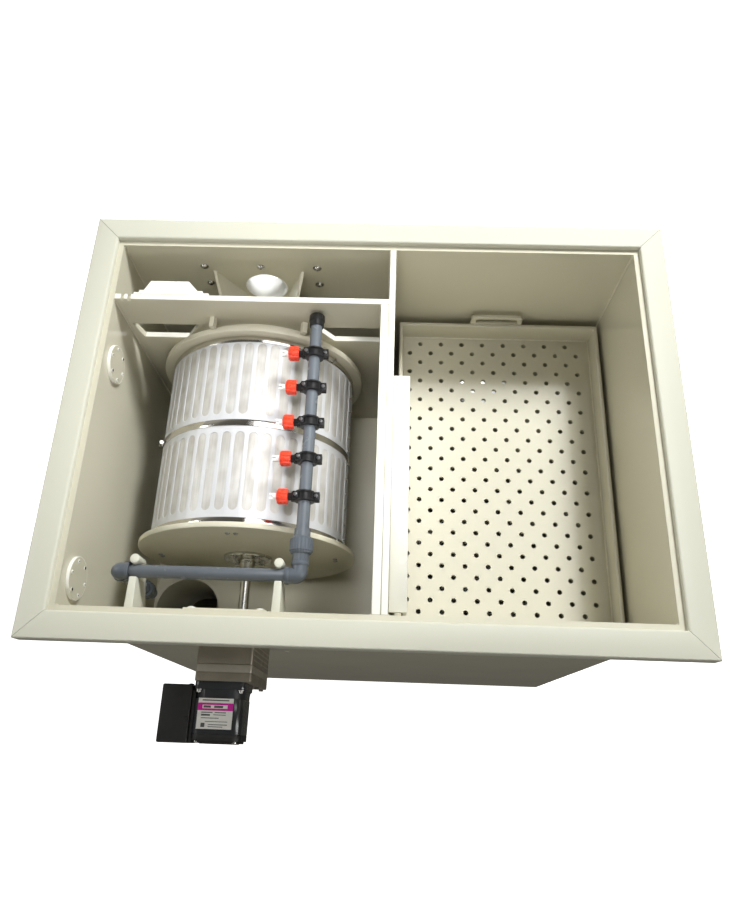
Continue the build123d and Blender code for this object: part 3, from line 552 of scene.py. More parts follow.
def make_blanking_discs():
    piece = Piece("blanking_covers")
    low, high = box_mm("blanking_discs")
    r = (high.z - low.z) / 2
    cz = (low.z + high.z) / 2
    for y in (low.y + r, high.y - r):
        x0 = low.x
        piece.lathe([(0, 0), (r - 0.5, 0), (r - 0.5, 5.2), (r - 1.5, 6), (0, 6)],
                    (x0, y, cz), (1, 0, 0), SHEET, 64)
        # rim of each cover in the cut-edge colour, with its painted highlight
        piece.lathe([(r - 0.9, 0.5), (r, 0.5), (r, 5.0), (r - 0.4, 5.8), (r - 0.9, 5.6)],
                    (x0, y, cz), (1, 0, 0), CUT_EDGE_PAINTED_HIGHLIGHT, 64)
        for k in range(6):
            a = radians(20 + 60 * k)
            sy, sz = y + 29 * cos(a), cz + 29 * sin(a)
            piece.lathe([(0, 0), (3.8, 0), (3.5, 1.0), (2.4, 1.7), (0, 1.8)],
                        (x0 + 5.6, sy, sz), (1, 0, 0), NYLON, 20)
            # near-black disc in each screw head: painted shade in its socket
            size = 2.8 if k in (2, 5) else 1.3
            piece.lathe([(0, 0), (size, 0), (size, 0.3), (0, 0.3)],
                        (x0 + 7.3, sy, sz), (1, 0, 0), SOCKET_PAINTED_SHADE, 14)
    piece.done("tank", "tank_sheet", "blanking_discs")


def dome_bolt(piece, point, direction, material, r=6.0, washer=8.5):
    """Washer and domed head with a socket, standing on a wall."""
    if washer:
        piece.lathe(ring(0, washer, 0, 1.2, 0.3), point, direction, STEEL, 28)
    lift = 1.2 if washer else 0
    section = [(0, lift), (r, lift), (r, lift + 1), (r * 0.85, lift + 2.6), (r * 0.5, lift + 3.6),
               (r * 0.42, lift + 3.6), (r * 0.38, lift + 1.6), (0, lift + 1.6)]
    piece.lathe(section, point, direction, material, 24)


def make_wall_bolts():
    piece = Piece("wall_fixings")
    x0, z0 = -235, 1074                     # middle bolt of the upper row
    for x, z in ((x0 - 115, z0), (x0, z0), (x0 + 115, z0), (x0 - 113, z0 - 55),
                 (x0 + 115, z0 - 55)):
        dome_bolt(piece, (x, IN_Y, z), FRONT, STEEL)
        piece.hexagon(10, 0, 5, (x, back_high.y, z), BACK, STEEL)
    plate_low, plate_high = box_mm("bearing_plate")
    for x in (plate_low.x + 12, plate_high.x - 12):
        for z in (690, 1079):
            dome_bolt(piece, (x, plate_high.y, z), BACK, NYLON, 7.5, 0)
            piece.lathe([(0, 0), (5.5, 0), (5.3, 0.5), (4.8, 0.8), (0, 0.9)], (x, wall_low.y, z),
                        FRONT, SHEET, 24)
    piece.done("tank", "fastener_steel", "wall_bolts")


def make_switch():
    low, high = box_mm("level_switch")
    y0 = low.y
    piece = Piece("switch_bracket")
    z0, z1 = WALL_TOP - 6, WALL_TOP
    outline = [(-460, y0), (-316, y0), (-316, y0 + 4), (-328, y0 + 4), (-328, y0 + 9),
               (-338, y0 + 9), (-357, y0 + 30), (-430, y0 + 30), (-441, y0 + 9),
               (-450, y0 + 9), (-450, y0 + 4), (-460, y0 + 4)]
    # bracket in the cut-edge colour, with its painted highlight on the top
    piece.prism(outline, z0, z1 + 0.3, "xy", CUT_EDGE_PAINTED_HIGHLIGHT, 0.8)
    x, y = -391, y0 + 15                    # the stem's axis
    section = ring(0, 4, low.z, z1 - 2, 0.5)
    piece.lathe(section, (x, y, 0), UP, TIP, 24)
    for z, h in ((low.z, 4), (low.z + 64, 3)):
        piece.lathe(ring(4, 7, z, z + h, 0.6), (x, y, 0), UP, TIP, 28)
    piece.done("tank", "float_white", "level_switch")
    low, high = box_mm("switch_float")
    piece = Piece("float_ball")
    section = [(4.3, low.z), (9, low.z), (11.6, low.z + 1.2), (13, low.z + 4.5),
               (13, high.z - 4.5), (11.6, high.z - 1.2), (9, high.z), (4.3, high.z)]
    piece.lathe(section, (x, y, 0), UP, TIP, 36)
    piece.done("float", "float_white", "switch_float")


# x, z, outer radius and inner radius of the waste, inlet and outlet sockets
SOCKETS = ((-232, 1006, 45, 42), (-396, 740, 55, 51.5), (281, 560, 80, 75))
FLOOR_PORT = (-418.5, -269, 0)


def make_stubs():
    """White sockets through the back wall and the floor drain pipe under the raised floor."""
    piece = Piece("pipe_sockets")
    y_end = box_mm("pipe_stubs")[1].y
    for x, z, outer, inner in SOCKETS:
        piece.lathe(ring(inner, outer, back_low.y, y_end, 0.8), (x, 0, z), BACK, STUB, 96)
        piece.lathe(ring(outer - 1, outer + 4, back_high.y, back_high.y + 4, 1.6), (x, 0, z),
                    BACK, BEAD, 96)
    piece.lathe(ring(72, 75, 400, 630, 0.6), FLOOR_PORT, UP, SHEET, 96)
    piece.lathe(ring(75, 79, 624, 630, 1.0), FLOOR_PORT, UP, BEAD, 96)
    piece.done("tank", "stub_grey", "pipe_stubs")


def make_hood():
    low, high = box_mm("transfer_hood")
    t = 6
    under = high.z - t + 1.5
    piece = Piece("hood_cover")
    # the whole hood in the lighter sheet copy, which paints light on it
    piece.box((low.x, low.y, high.z - t), high, HOOD_PAINTED_LIT, 1.2)
    piece.box((high.x - t, low.y, low.z), (high.x, high.y, under), HOOD_PAINTED_LIT, 1.0)
    piece.box((low.x, high.y - t, low.z), (high.x - t + 1, high.y, under), HOOD_PAINTED_LIT, 1.0)
    piece.done("hood", "tray_sheet", "transfer_hood")


# ---- drum
disc_low, disc_high = box_mm("drum_front_disc")
AX, AZ = (disc_low.x + disc_high.x) / 2, (disc_low.z + disc_high.z) / 2
DISC_R = (disc_high.x - disc_low.x) / 2
cage_low, cage_high = box_mm("drum_cage")
CAGE_R = (cage_high.x - cage_low.x) / 2
SLOTS = 48                                  # slots round the drum in each row


def make_discs():
    piece = Piece("front_disc")
    t0, t1 = disc_low.y, disc_high.y
    section = [(10, t0), (DISC_R - 2.5, t0), (DISC_R - 0.7, t0 + 0.7), (DISC_R, t0 + 2.5),
               (DISC_R, t1 - 2.5), (DISC_R - 0.7, t1 - 0.7), (DISC_R - 2.5, t1), (10, t1)]
    piece.lathe(section, (AX, 0, AZ), BACK, DISC, 160)
    piece.done("drum", "drum_disc_plastic", "drum_front_disc")
    low, high = box_mm("drum_back_ring")
    piece = Piece("back_ring")
    piece.lathe(ring(RING_BORE_R, DISC_R, low.y, high.y, 1.8), (AX, 0, AZ), BACK, DISC, 160)
    piece.done("drum", "drum_disc_plastic", "drum_back_ring")


def make_cage():
    """Slotted sheet: every slot is a cell of its own, bent round the drum."""
    piece = Piece("slotted_cage")
    part = bmesh.new()
    y0, y1 = cage_low.y, cage_high.y
    middle, row_pitch = 11.0, 95
    cell = 2 * pi * CAGE_R / SLOTS
    half_w, half_l = 9.3, 77.5
    levels = ((0.0, 0.0), (0.35, -0.08), (0.6, -0.35), (0.6, -1.0))     # inset, height

    def place(s, y, h):
        a = s / CAGE_R
        r = CAGE_R + h
        return (AX + r * sin(a), y, AZ + r * cos(a))

    n_end = 8
    slot_loop = []
    for side, start in ((1, 0), (-1, pi)):
        for k in range(n_end + 1):
            a = start + pi * k / n_end
            slot_loop.append((half_w * cos(a), side * (half_l - half_w) + half_w * sin(a)))

    for row, (low, high) in ((-1, (y0, middle)), (1, (middle, y1))):
        centre = middle + row_pitch * row
        for k in range(SLOTS):
            s0 = cell * k
            outer = []
            for x, y in slot_loop:
                side = 1 if x > 0 else -1
                if abs(y) > half_l - half_w + 1e-6 and abs(x) < half_w - 1e-6:
                    outer.append((x / half_w * cell / 2, high if y > 0 else low))
                else:
                    outer.append((side * cell / 2, centre + y))
            for index, side in ((0, 1), (n_end, -1), (n_end + 1, -1), (2 * n_end + 1, 1)):
                outer[index] = (side * cell / 2, centre + slot_loop[index][1])
            loops = [[place(s0 + x, y, 0) for x, y in outer]]
            for inset, depth in levels:
                shrink = 1 - inset / half_w
                loops.append([place(s0 + x * shrink, centre + y * (1 - inset / half_l), depth)
                              for x, y in slot_loop])
            loops.append([place(s0 + x, y, -1.0) for x, y in outer])
            made = [[part.verts.new(p) for p in loop] for loop in loops]
            m = len(slot_loop)
            for a, b in zip(made, made[1:]):
                for i in range(m):
                    j = (i + 1) % m
                    part.faces.new([a[i], a[j], b[j], b[i]])
            for i, side, y in ((0, 1, high), (n_end - 1, -1, high), (n_end + 1, -1, low),
                               (2 * n_end, 1, low)):
                corner = part.verts.new(place(s0 + side * cell / 2, y, 0))
                part.faces.new([made[0][i], corner, made[0][i + 1]])
    piece.absorb(part, CAGE)
    seam_angle = radians(80)
    seam_x = AX + CAGE_R * sin(seam_angle)
    seam_z = AZ + CAGE_R * cos(seam_angle)
    turn = Matrix.Rotation(seam_angle, 4, "Y")
    for y_low, y_high in ((y0 + 14, middle - 9), (middle + 6, y1 - 14)):
        low, high = Vector((-9, y_low, -0.2)), Vector((9, y_high, 1.6))
        size, centre = high - low, (high + low) / 2
        shifted = turn @ Vector((centre.x, 0, centre.z))
        spot = Vector((seam_x + shifted.x, centre.y, seam_z + shifted.z))
        piece.box(spot - size / 2, spot + size / 2, CAGE, 0.5, 1, turn)
        for k in range(6):
            y = y_low + 8 + (y_high - y_low - 16) * k / 5
            out = turn @ Vector((0, 0, 1))
            point = (seam_x + out.x * 1.5, y, seam_z + out.z * 1.5)
            piece.lathe([(0, 0), (3.0, 0), (2.6, 1.2), (1.4, 1.9), (0, 2.0)], point, out, STEEL, 14)
    piece.done("drum", "cage_steel", "drum_cage", smooth=40)


def make_cloth():
    """The screen bellies a little between the ribs of the cage."""
    part = bmesh.new()
    y0, y1 = cage_low.y, cage_high.y
    around, along = SLOTS * 8, 110
    r0 = CAGE_R - 1.1
    rows = []
    for j in range(along + 1):
        y = y0 + (y1 - y0) * j / along
        row = []
        for k in range(around):
            a = 2 * pi * k / around
            x, z = sin(a), cos(a)
            rib = 0.5 - 0.5 * cos(a * SLOTS)
            field = noise.noise(Vector((x * 9.0, y * 0.050, z * 9.0)))
            fine = noise.noise(Vector((x * 22.0, y * 0.10 + 9, z * 22.0)))
            h = (0.75 * field + 0.40 * fine) * (0.25 + 0.75 * (1 - rib)) - 0.3
            row.append(part.verts.new((AX + (r0 + h) * x, y, AZ + (r0 + h) * z)))
        rows.append(row)
    for low, high in zip(rows, rows[1:]):
        for k in range(around):
            part.faces.new([low[k], low[(k + 1) % around], high[(k + 1) % around], high[k]])
    inner = bmesh.ops.duplicate(part, geom=list(part.verts) + list(part.faces))
    for item in inner["geom"]:
        if isinstance(item, bmesh.types.BMVert):
            radial = Vector((item.co.x - AX, 0, item.co.z - AZ)).normalized()
            item.co -= radial * 0.6
    bmesh.ops.reverse_faces(part, faces=[f for f in inner["geom"]
                                         if isinstance(f, bmesh.types.BMFace)])
    mesh = bpy.data.meshes.new("cloth")
    part.to_mesh(mesh)
    part.free()
    piece = Piece("filter_cloth")
    piece.materials.append(CLOTH)
    piece.bm.from_mesh(mesh)
    bpy.data.meshes.remove(mesh)
    piece.done("drum", "mesh_cloth", "filter_mesh", smooth=60)


def make_bands():
    low, high = box_mm("clamp_bands")
    r = (high.x - low.x) / 2
    piece = Piece("band_clamps")
    y_front = low.y + 7
    y_back = high.y - 7
    for y, lap in ((y_front, 20), (11.0, 158), (y_back, 40)):
        piece.lathe(ring(r - 1.4, r, y - 6.5, y + 6.5, 0.35), (AX, 0, AZ), BACK, BAND, 144)
        a = radians(lap)
        out = Vector((cos(a), 0, sin(a)))
        centre = Vector((AX, y, AZ)) + out * (r + 3)
        turn = Matrix.Rotation(radians(90 - lap), 4, "Y")
        piece.box(centre - Vector((9, 5, 3)), centre + Vector((9, 5, 3)), BAND, 0.8, 2, turn)
        side = Vector((-out.z, 0, out.x))
        start = centre + out * 1.5 - side * 12
        piece.lathe(ring(0, 3.0, 0, 24, 0.6), start, side, STEEL, 18)
        piece.hexagon(8.5, -4, 0, start, side, STEEL)
    piece.done("drum", "stainless", "clamp_bands")


def make_hub():
    hub_front = box_mm("drum_hub")[0].y
    piece = Piece("hub_flange")
    face = disc_low.y
    section = [(10, face), (48.5, face), (48.5, face - 4.6), (47.5, face - 6), (20, face - 6),
               (17.5, face - 7), (16, face - 9), (15.5, face - 12), (15.5, hub_front + 1),
               (14.5, hub_front), (10, hub_front)]
    piece.lathe(section, (AX, 0, AZ), BACK, STEEL, 72)
    piece.done("drum", "stainless", "drum_hub")
    piece = Piece("disc_fixings")
    for k in range(4):
        a = radians(45 + 90 * k)
        x, z = AX + 36 * cos(a), AZ + 36 * sin(a)
        piece.lathe(ring(0, 8, 0, 1.4, 0.3), (x, face - 6, z), FRONT, STEEL, 24)
        piece.hexagon(10, 1.4, 6, (x, face - 6, z), FRONT, STEEL)
        for offset in (-2.4, 2.4):
            b = radians(90 * k + offset)
            x, z = AX + 176 * cos(b), AZ + 176 * sin(b)
            piece.lathe([(0, 0), (5, 0), (4.6, 1.4), (3.0, 2.6), (2.0, 2.6), (1.8, 1.2),
                         (0, 1.2)], (x, face, z), FRONT, GEAR, 20)
    piece.done("drum", "fastener_steel", "drum_screws")


# ---- rinse pipework
pipe_low, pipe_high = box_mm("spray_pipe")
SX = (pipe_low.x + pipe_high.x) / 2
SZ = (pipe_low.z + pipe_high.z) / 2
elbow_low, elbow_high = box_mm("pipe_elbows")
SUPPLY_Y, DROP_X = -286.0, -415.0           # the cross pipe's Y and the drop pipe's X


def swept(piece, path, radius, material, n=28):
    """Tube of outer radius along a smooth list of points, closed by flat ends."""
    part = bmesh.new()
    frames = []
    points = [Vector(p) for p in path]
    normal = None
    for k, p in enumerate(points):
        before = points[max(0, k - 1)]
        after = points[min(len(points) - 1, k + 1)]
        direction = (after - before).normalized()
        if normal is None:
            normal = direction.orthogonal().normalized()
        normal = (normal - direction * normal.dot(direction)).normalized()
        side = direction.cross(normal)
        loop = []
        for i in range(n):
            a = 2 * pi * i / n
            loop.append(part.verts.new(p + radius * (cos(a) * normal + sin(a) * side)))
        frames.append(loop)
    for a, b in zip(frames, frames[1:]):
        for i in range(n):
            part.faces.new([a[i], a[(i + 1) % n], b[(i + 1) % n], b[i]])
    part.faces.new(frames[0])
    part.faces.new(list(reversed(frames[-1])))
    piece.absorb(part, material)


def elbow(piece, corner, first, second, reach, radius=14.0):
    """Moulded elbow with a rounded heel and a raised rim on each socket."""
    c, d1, d2 = Vector(corner), Vector(first), Vector(second)
    bend = 7.0
    path = [c + d1 * reach, c + d1 * bend]
    for k in range(1, 6):
        a = pi / 2 * k / 6
        centre = c + (d1 + d2) * bend
        path.append(centre - d2 * bend * cos(a) - d1 * bend * sin(a))
    path += [c + d2 * bend, c + d2 * reach]
    swept(piece, path, radius - 0.6, FITTING)
    for d in (d1, d2):
        section = [(11.1, reach), (radius + 0.3, reach), (radius + 0.9, reach - 1),
                   (radius + 0.9, reach - 6), (radius + 0.3, reach - 7), (11.1, reach - 7)]
        piece.lathe(section, c, d, FITTING, 36)


def make_supply():
    piece = Piece("elbow_fittings")
    elbow(piece, (DROP_X, SUPPLY_Y, SZ), (1, 0, 0), (0, 0, -1), 21)
    elbow(piece, (SX, SUPPLY_Y, SZ), LEFT, BACK, 24)
    ribs = fluted(18, 0.7, 12)
    section = [(9, -267), (12.8, -267), (13.2, -265), (13.2, -250), (16, -247), (16, -236),
               (9, -236)]
    piece.lathe(section, (SX, 0, SZ), BACK, FITTING, 108, ribs)
    section = [(9, 908), (11, 908), (11, 930), (14.6, 930), (15.5, 931), (15.5, 936), (14.8, 937),
               (14.8, 947), (15.5, 948), (15.5, 953), (14.6, 954), (9, 954)]
    piece.lathe(section, (DROP_X, SUPPLY_Y, 0), UP, FITTING, 72, ribs)
    piece.done("tank", "fitting_grey", "pipe_elbows")
    piece = Piece("supply_tubes")
    piece.lathe(ring(9, 11, DROP_X + 12, SX - 12, 0.5), (0, SUPPLY_Y, SZ), (1, 0, 0), PIPE, 40)
    piece.lathe(ring(9, 11, 942, SZ - 12, 0.5), (DROP_X, SUPPLY_Y, 0), UP, PIPE, 40)
    piece.done("tank", "pipe_grey", "supply_pipes")


def make_arms():
    piece = Piece("pipe_brackets")
    low, high = box_mm("pipe_arms")
    top = SZ + 12
    tip_y = -268.0
    for x in (low.x + 7.5, high.x - 7.5):
        for y_from, y_to, z_top, w_from, w_to in (
                (-IN_Y, SUPPLY_Y - 11.5, top, 7.5, 6.0), (SUPPLY_Y - 12, tip_y, SZ - 8, 6.0, 5.0)):
            def base(y):
                return 1040 + max(0, min(1, (y + IN_Y) / 64)) * 24
            verts = [(x - w_from, y_from, base(y_from)), (x + w_from, y_from, base(y_from)),
                     (x + w_to, y_to, base(y_to)), (x - w_to, y_to, base(y_to)),
                     (x - w_from, y_from, z_top), (x + w_from, y_from, z_top),
                     (x + w_to, y_to, z_top), (x - w_to, y_to, z_top)]
            faces = ((0, 3, 2, 1), (4, 5, 6, 7), (0, 1, 5, 4), (1, 2, 6, 5), (2, 3, 7, 6),
                     (3, 0, 4, 7))
            piece.shape(verts, faces, RIM, 1.4)
        section = ring(0, 8.3, 1076, SZ + 17, 3.0)
        piece.lathe(section, (x, tip_y, 0), UP, RIM, 32)
        loop = [(x - 8, -IN_Y, 1041), (x - 8, -IN_Y, top), (x + 8, -IN_Y, top),
                (x + 8, -IN_Y, 1041)]
        piece.tube(loop, 2.4, BEAD, ripple=0.5, step=4)
    piece.done("tank", "tank_sheet", "pipe_arms")


def make_spray_bar():
    piece = Piece("spray_tube")
    flange = pipe_low.y
    piece.lathe([(9, flange), (16, flange), (16, flange + 7.5), (14, flange + 7.5),
                 (14, flange + 30), (11, flange + 30.5), (11, pipe_high.y), (9, pipe_high.y)],
                (SX, 0, SZ), BACK, PIPE, 48)
    piece.done("spray_bar", "pipe_grey", "spray_pipe")
    low, high = box_mm("spray_end_cap")
    piece = Piece("end_plug")
    section = [(0, 213), (11.1, 213), (11.1, low.y), (13, low.y), (13.5, low.y + 1), (13.5, 207),
               (15, 208), (15, high.y - 2), (13.4, high.y), (0, high.y)]
    piece.lathe(section, (SX, 0, SZ), BACK, BLACK, 80, fluted(20, -0.5, 14))
    piece.done("spray_bar", "clamp_black", "spray_end_cap")

    low, high = box_mm("union_nut")
    piece = Piece("union_collar")
    section = [(11.3, low.y), (17, low.y), (18.2, low.y + 1.5), (18.4, low.y + 3),
               (20, low.y + 4), (20, high.y - 6), (19.6, high.y - 4), (18, high.y - 2.5),
               (16.5, high.y), (14.3, high.y), (14.3, -226.5), (16.5, -227), (16.5, -243),
               (11.3, -243.5)]
    piece.lathe(section, (SX, 0, SZ), BACK, FITTING, 120, fluted(24, -0.9, 18))
    piece.done("union_nut", "fitting_grey", "union_nut")


NOZZLE_Y = (137, 66, -5, -76, -147)
# low and high x, half width, low and high z of a clamp's blocks, from the spray bar's axis
CLAMP_BLOCKS = ((12, 26, 8, -7, -0.6), (12, 26, 8, 0.6, 7), (-21, -11, 8, -7, 5),
                (-20, -10, 6.5, 4, 15))


def make_nozzles():
    clamps = Piece("spray_clamps")
    screws = Piece("clamp_bolts")
    for index, y in enumerate(NOZZLE_Y, 1):
        for edge in (y - 7.2, y + 7.2):
            clamps.lathe(ring(11, 17.5, edge - 1.8, edge + 1.8, 0.6), (SX, 0, SZ), BACK, BLACK, 40)
        clamps.lathe(ring(11, 15.6, y - 6.5, y + 6.5, 0.5), (SX, 0, SZ), BACK, BLACK, 40)
        for degrees in (-35, 35, 145, 215):
            t = radians(degrees)
            mid = Vector((SX + 15.4 * cos(t), y, SZ + 15.4 * sin(t)))
            turn = Matrix.Rotation(-t, 4, "Y")
            half = Vector((2.2, 7.5, 1.2))
            clamps.box(mid - half, mid + half, BLACK, 0.5, 1, turn)
        for x0, x1, w, z0, z1 in CLAMP_BLOCKS:
            clamps.box((SX + x0, y - w, SZ + z0), (SX + x1, y + w, SZ + z1), BLACK, 1.2)
        for outer, t0, t1 in ((9.5, 20.5, 23), (7, 14, 32)):
            clamps.lathe(ring(3.5, outer, t0, t1, 0.6), (SX, y, SZ), LEFT, BLACK, 32)
        for x, z in ((SX - 15, SZ + 15), (SX + 20, SZ + 7)):
            section = [(0, 0), (3.4, 0), (3.4, 1.8), (2.8, 2.8), (1.6, 3), (1.4, 1.4), (0, 1.4)]
            screws.lathe(section, (x, y, z), UP, GEAR, 20)
        cap = Piece("nozzle_head_%d" % index)

        def lobes(a, r, t):
            if r < 12.4 or t > 45.5:
                return r
            return r - 1.9 * max(0, cos(8 * a)) ** 3

        section = [(7.05, 29), (11.5, 29), (13.2, 29.6), (14, 31), (14, 44.6), (13.2, 46.8),
                   (11.5, 48.4), (8.8, 49), (4.6, 49), (4.5, 33), (7.05, 32.4)]
        cap.lathe(section, (SX, y, SZ), LEFT, RED, 96, lobes)
        section = [(1.2, 34), (4.4, 34), (4.4, 48), (5.6, 49), (5.6, 54), (4.6, 55.5), (3.0, 56.5),
                   (1.2, 56.5)]
        cap.lathe(section, (SX, y, SZ), LEFT, TIP, 32)
        for shift in (-3.6, 3.6):
            cap.box((SX - 62, y + shift - 1.9, SZ - 2.4), (SX - 53, y + shift + 1.9, SZ + 2.4),
                    TIP, 0.8, 2)
        cap.done("nozzle_%d" % index, "nozzle_red", "nozzle_%d" % index)
    clamps.done("spray_bar", "clamp_black", "nozzle_clamps")
    screws.done("spray_bar", "fastener_steel", "clamp_screws")


# ---- gearmotor
def make_gearmotor():
    case_low, case_high = box_mm("gearbox_case")
    cover_front = box_mm("gearbox_cover")[0].y
    piece = Piece("gear_case")
    y0, y1 = case_low.y, case_high.y
    outline = rounded(case_low.x, case_high.x, case_low.z, case_high.z, 5)
    inner = rounded(case_low.x + 7, case_high.x - 7, case_low.z + 7, case_high.z - 7, 3)
    piece.plate([outline, inner], y0 + 0.3, y1 - 7, "xz", CASTING, 0.6)
    piece.plate([outline], y1 - 7, y1, "xz", CASTING, 0.5)
    # ribs on the side face in the lighter casting copy: painted light
    for y in (y0 + 10, y0 + 19, y0 + 28, y0 + 37):
        piece.box((case_high.x - 0.4, y - 1.2, case_low.z + 6), (case_high.x + 0.6, y + 1.2,
                  case_high.z - 8), CASTING_PAINTED_LIT, 0.4, 1)
    piece.done("tank", "gearbox_metal", "gearbox_case")
    piece = Piece("gear_cover")
    split = y0 - 14                         # joint between the cover's two plates
    # the cover's inner plate in the lighter casting copy: painted light
    piece.plate([outline], split, y0 - 0.3, "xz", CASTING_PAINTED_LIT, 0.6)
    piece.plate([outline], cover_front, split - 0.2, "xz", CASTING, 0.8)
    for x in (case_low.x + 10, case_high.x - 10):
        piece.hexagon(8, 0, 4, (x, cover_front, case_low.z + 12), FRONT, STEEL)
        piece.hexagon(8, 0, 4, (x, cover_front, case_low.z + 70), FRONT, STEEL)
    piece.done("tank", "gearbox_metal", "gearbox_cover")

    motor_low, motor_high = box_mm("motor_body")
    flange_y = -460.0
    mx, mz = -259.0, 890.98
    side, half = 46.0, 44.0                 # half width of the flange and of the body
    piece = Piece("motor_shell")
    body_front = motor_low.y
    flange = rounded(mx - side, mx + side, mz - side, mz + side, 10, 6)
    piece.plate([flange], flange_y + 0.2, motor_high.y, "xz", MOTOR, 0.8)
    corner = 18.0                           # the hollows at the four screws
    outline = []
    for sx, sz in ((1, -1), (1, 1), (-1, 1), (-1, -1)):
        x, z = mx + sx * half, mz + sz * half
        ends = [(x - sx * corner, z), (x, z - sz * corner)]
        first, last = ends if sx * sz < 0 else reversed(ends)
        cx, cz = x - sx * corner * 0.42, z - sz * corner * 0.42
        outline += [first, (first[0] * 0.5 + cx * 0.5, first[1] * 0.5 + cz * 0.5), (cx, cz),
                    (last[0] * 0.5 + cx * 0.5, last[1] * 0.5 + cz * 0.5), last]
    shell = rounded(mx - half, mx + half, mz - half, mz + half, 16, 9)
    piece.plate([shell], body_front, flange_y - 16, "xz", MOTOR, 0.4)
    piece.prism(outline, flange_y - 16.4, flange_y + 0.6, "xz", MOTOR, 0.4, 1)
    make_label(piece, mx, mz + half)
    piece.done("tank", "motor_black", "motor_body")

    low, high = box_mm("motor_end_cap")
    piece = Piece("motor_end_bracket")
    outline = rounded(mx - half, mx + half, mz - half, mz + half, 16, 9)
    piece.plate([outline], low.y + 5, high.y, "xz", BOX, 1.0)
    outline = rounded(mx - 40, mx + 40, mz - 40, mz + 40, 15, 8)
    piece.plate([outline], low.y + 1.5, low.y + 5.5, "xz", BOX, 1.2)
    for k in range(-3, 4):
        reach = sqrt(max(0, 36 ** 2 - (10 * k) ** 2))
        z = mz + 10 * k
        piece.box((mx - reach, low.y, z - 2.6), (mx + reach, low.y + 3, z + 2.6), BOX, 0.8, 1)
    for x, z in corners(mx, mz, 34):
        piece.lathe(ring(0, 4.5, low.y + 1, low.y + 6, 0.8), (x, 0, z), BACK, STEEL, 20)
    piece.done("tank", "box_black", "motor_end_cap")

    piece = Piece("motor_bolts")
    section = [(0, 0), (4.5, 0), (4.5, 4.5), (3.9, 5.2), (2.4, 5.2), (2.2, 3), (0, 3)]
    for x, z in corners(mx, mz, 38):
        piece.lathe(ring(0, 6.0, flange_y - 1.2, flange_y, 0.3), (x, 0, z), BACK, STEEL, 24)
        piece.lathe(section, (x, flange_y - 0.6, z), FRONT, STEEL, 24)
    piece.done("tank", "fastener_steel", "motor_screws")

    low, high = box_mm("terminal_box")
    piece = Piece("terminal_housing")
    piece.box((-309.2, low.y + 1, low.z + 4), (-303, -462, high.z - 3), BOX, 1.2, 2)
    piece.box((low.x, low.y, low.z), (-309.6, high.y, high.z), BOX, 3.0, 4)
    for y in (low.y + 9, high.y - 9):
        for z in (low.z + 9, high.z - 9):
            piece.lathe([(0, 0), (3.4, 0), (3.2, 1), (2, 1.6), (1.2, 1.6), (1, 0.8), (0, 0.8)],
                        (low.x + 0.2, y, z), LEFT, BOX, 18)
    for y0, y1, z0, z1 in ((high.y - 1.5, high.y + 1.5, high.z - 16, high.z - 4),
                           (-516, -508, high.z - 1.5, high.z + 1.2)):
        piece.box((-318, y0, z0), (-311, y1, z1), BOX, 0.8, 1)
    piece.done("tank", "box_black", "terminal_box")

    low, high = box_mm("cable_gland")
    gx, gy = (low.x + high.x) / 2, (low.y + high.y) / 2
    piece = Piece("gland_body")
    box_z = box_mm("terminal_box")[0].z
    piece.lathe(ring(4, 8, low.z + 2, high.z, 0.4), (gx, gy, 0), UP, BOX, 32)
    for z0, z1 in ((box_z - 7, box_z), (box_z + 5, box_z + 9)):
        piece.lathe(ring(7, 12.5, z0, z1, 0.6), (gx, gy, 0), UP, BOX, 36, hexed(10))
    section = [(4, low.z), (7, low.z), (9.4, low.z + 2), (9.8, low.z + 4), (9.8, box_z - 7),
               (4, box_z - 7)]
    piece.lathe(section, (gx, gy, 0), UP, BOX, 48)
    piece.done("tank", "box_black", "cable_gland")


def make_label(piece, mx, top):
    """Type plate on top of the motor: plain bands and rules, no lettering."""
    def patch(x0, x1, y0, y1, lift, material):
        piece.box((mx + x0, y0, top - 0.4), (mx + x1, y1, top + lift), material, 0.1, 1)

    y = -475.5
    patch(-35, 28, y - 52, y, 0.30, LABEL)
    patch(-35, 28, y - 21, y - 8, 0.38, LABEL_PINK)
    patch(-27, 18, y - 17.5, y - 11.5, 0.46, LABEL)
    for x0, x1, t0, t1 in ((-28, 20, 2.5, 4.5), (-28, -8, 23.5, 25), (-4, 16, 23.5, 25),
                           (-28, -12, 27, 30), (-6, 16, 27.5, 28.7), (-28, 4, 33, 34.2),
                           (-20, 20, 39, 40), (-27, -20, 42, 49), (-14, 20, 44, 45.2),
                           (-14, 12, 47.5, 48.7), (-25, -12, 12.6, 16.4), (-6, 10, 12.6, 16.4)):
        patch(x0, x1, y - t1, y - t0, 0.52 if 12 < t0 < 17 else 0.40, LABEL_INK)


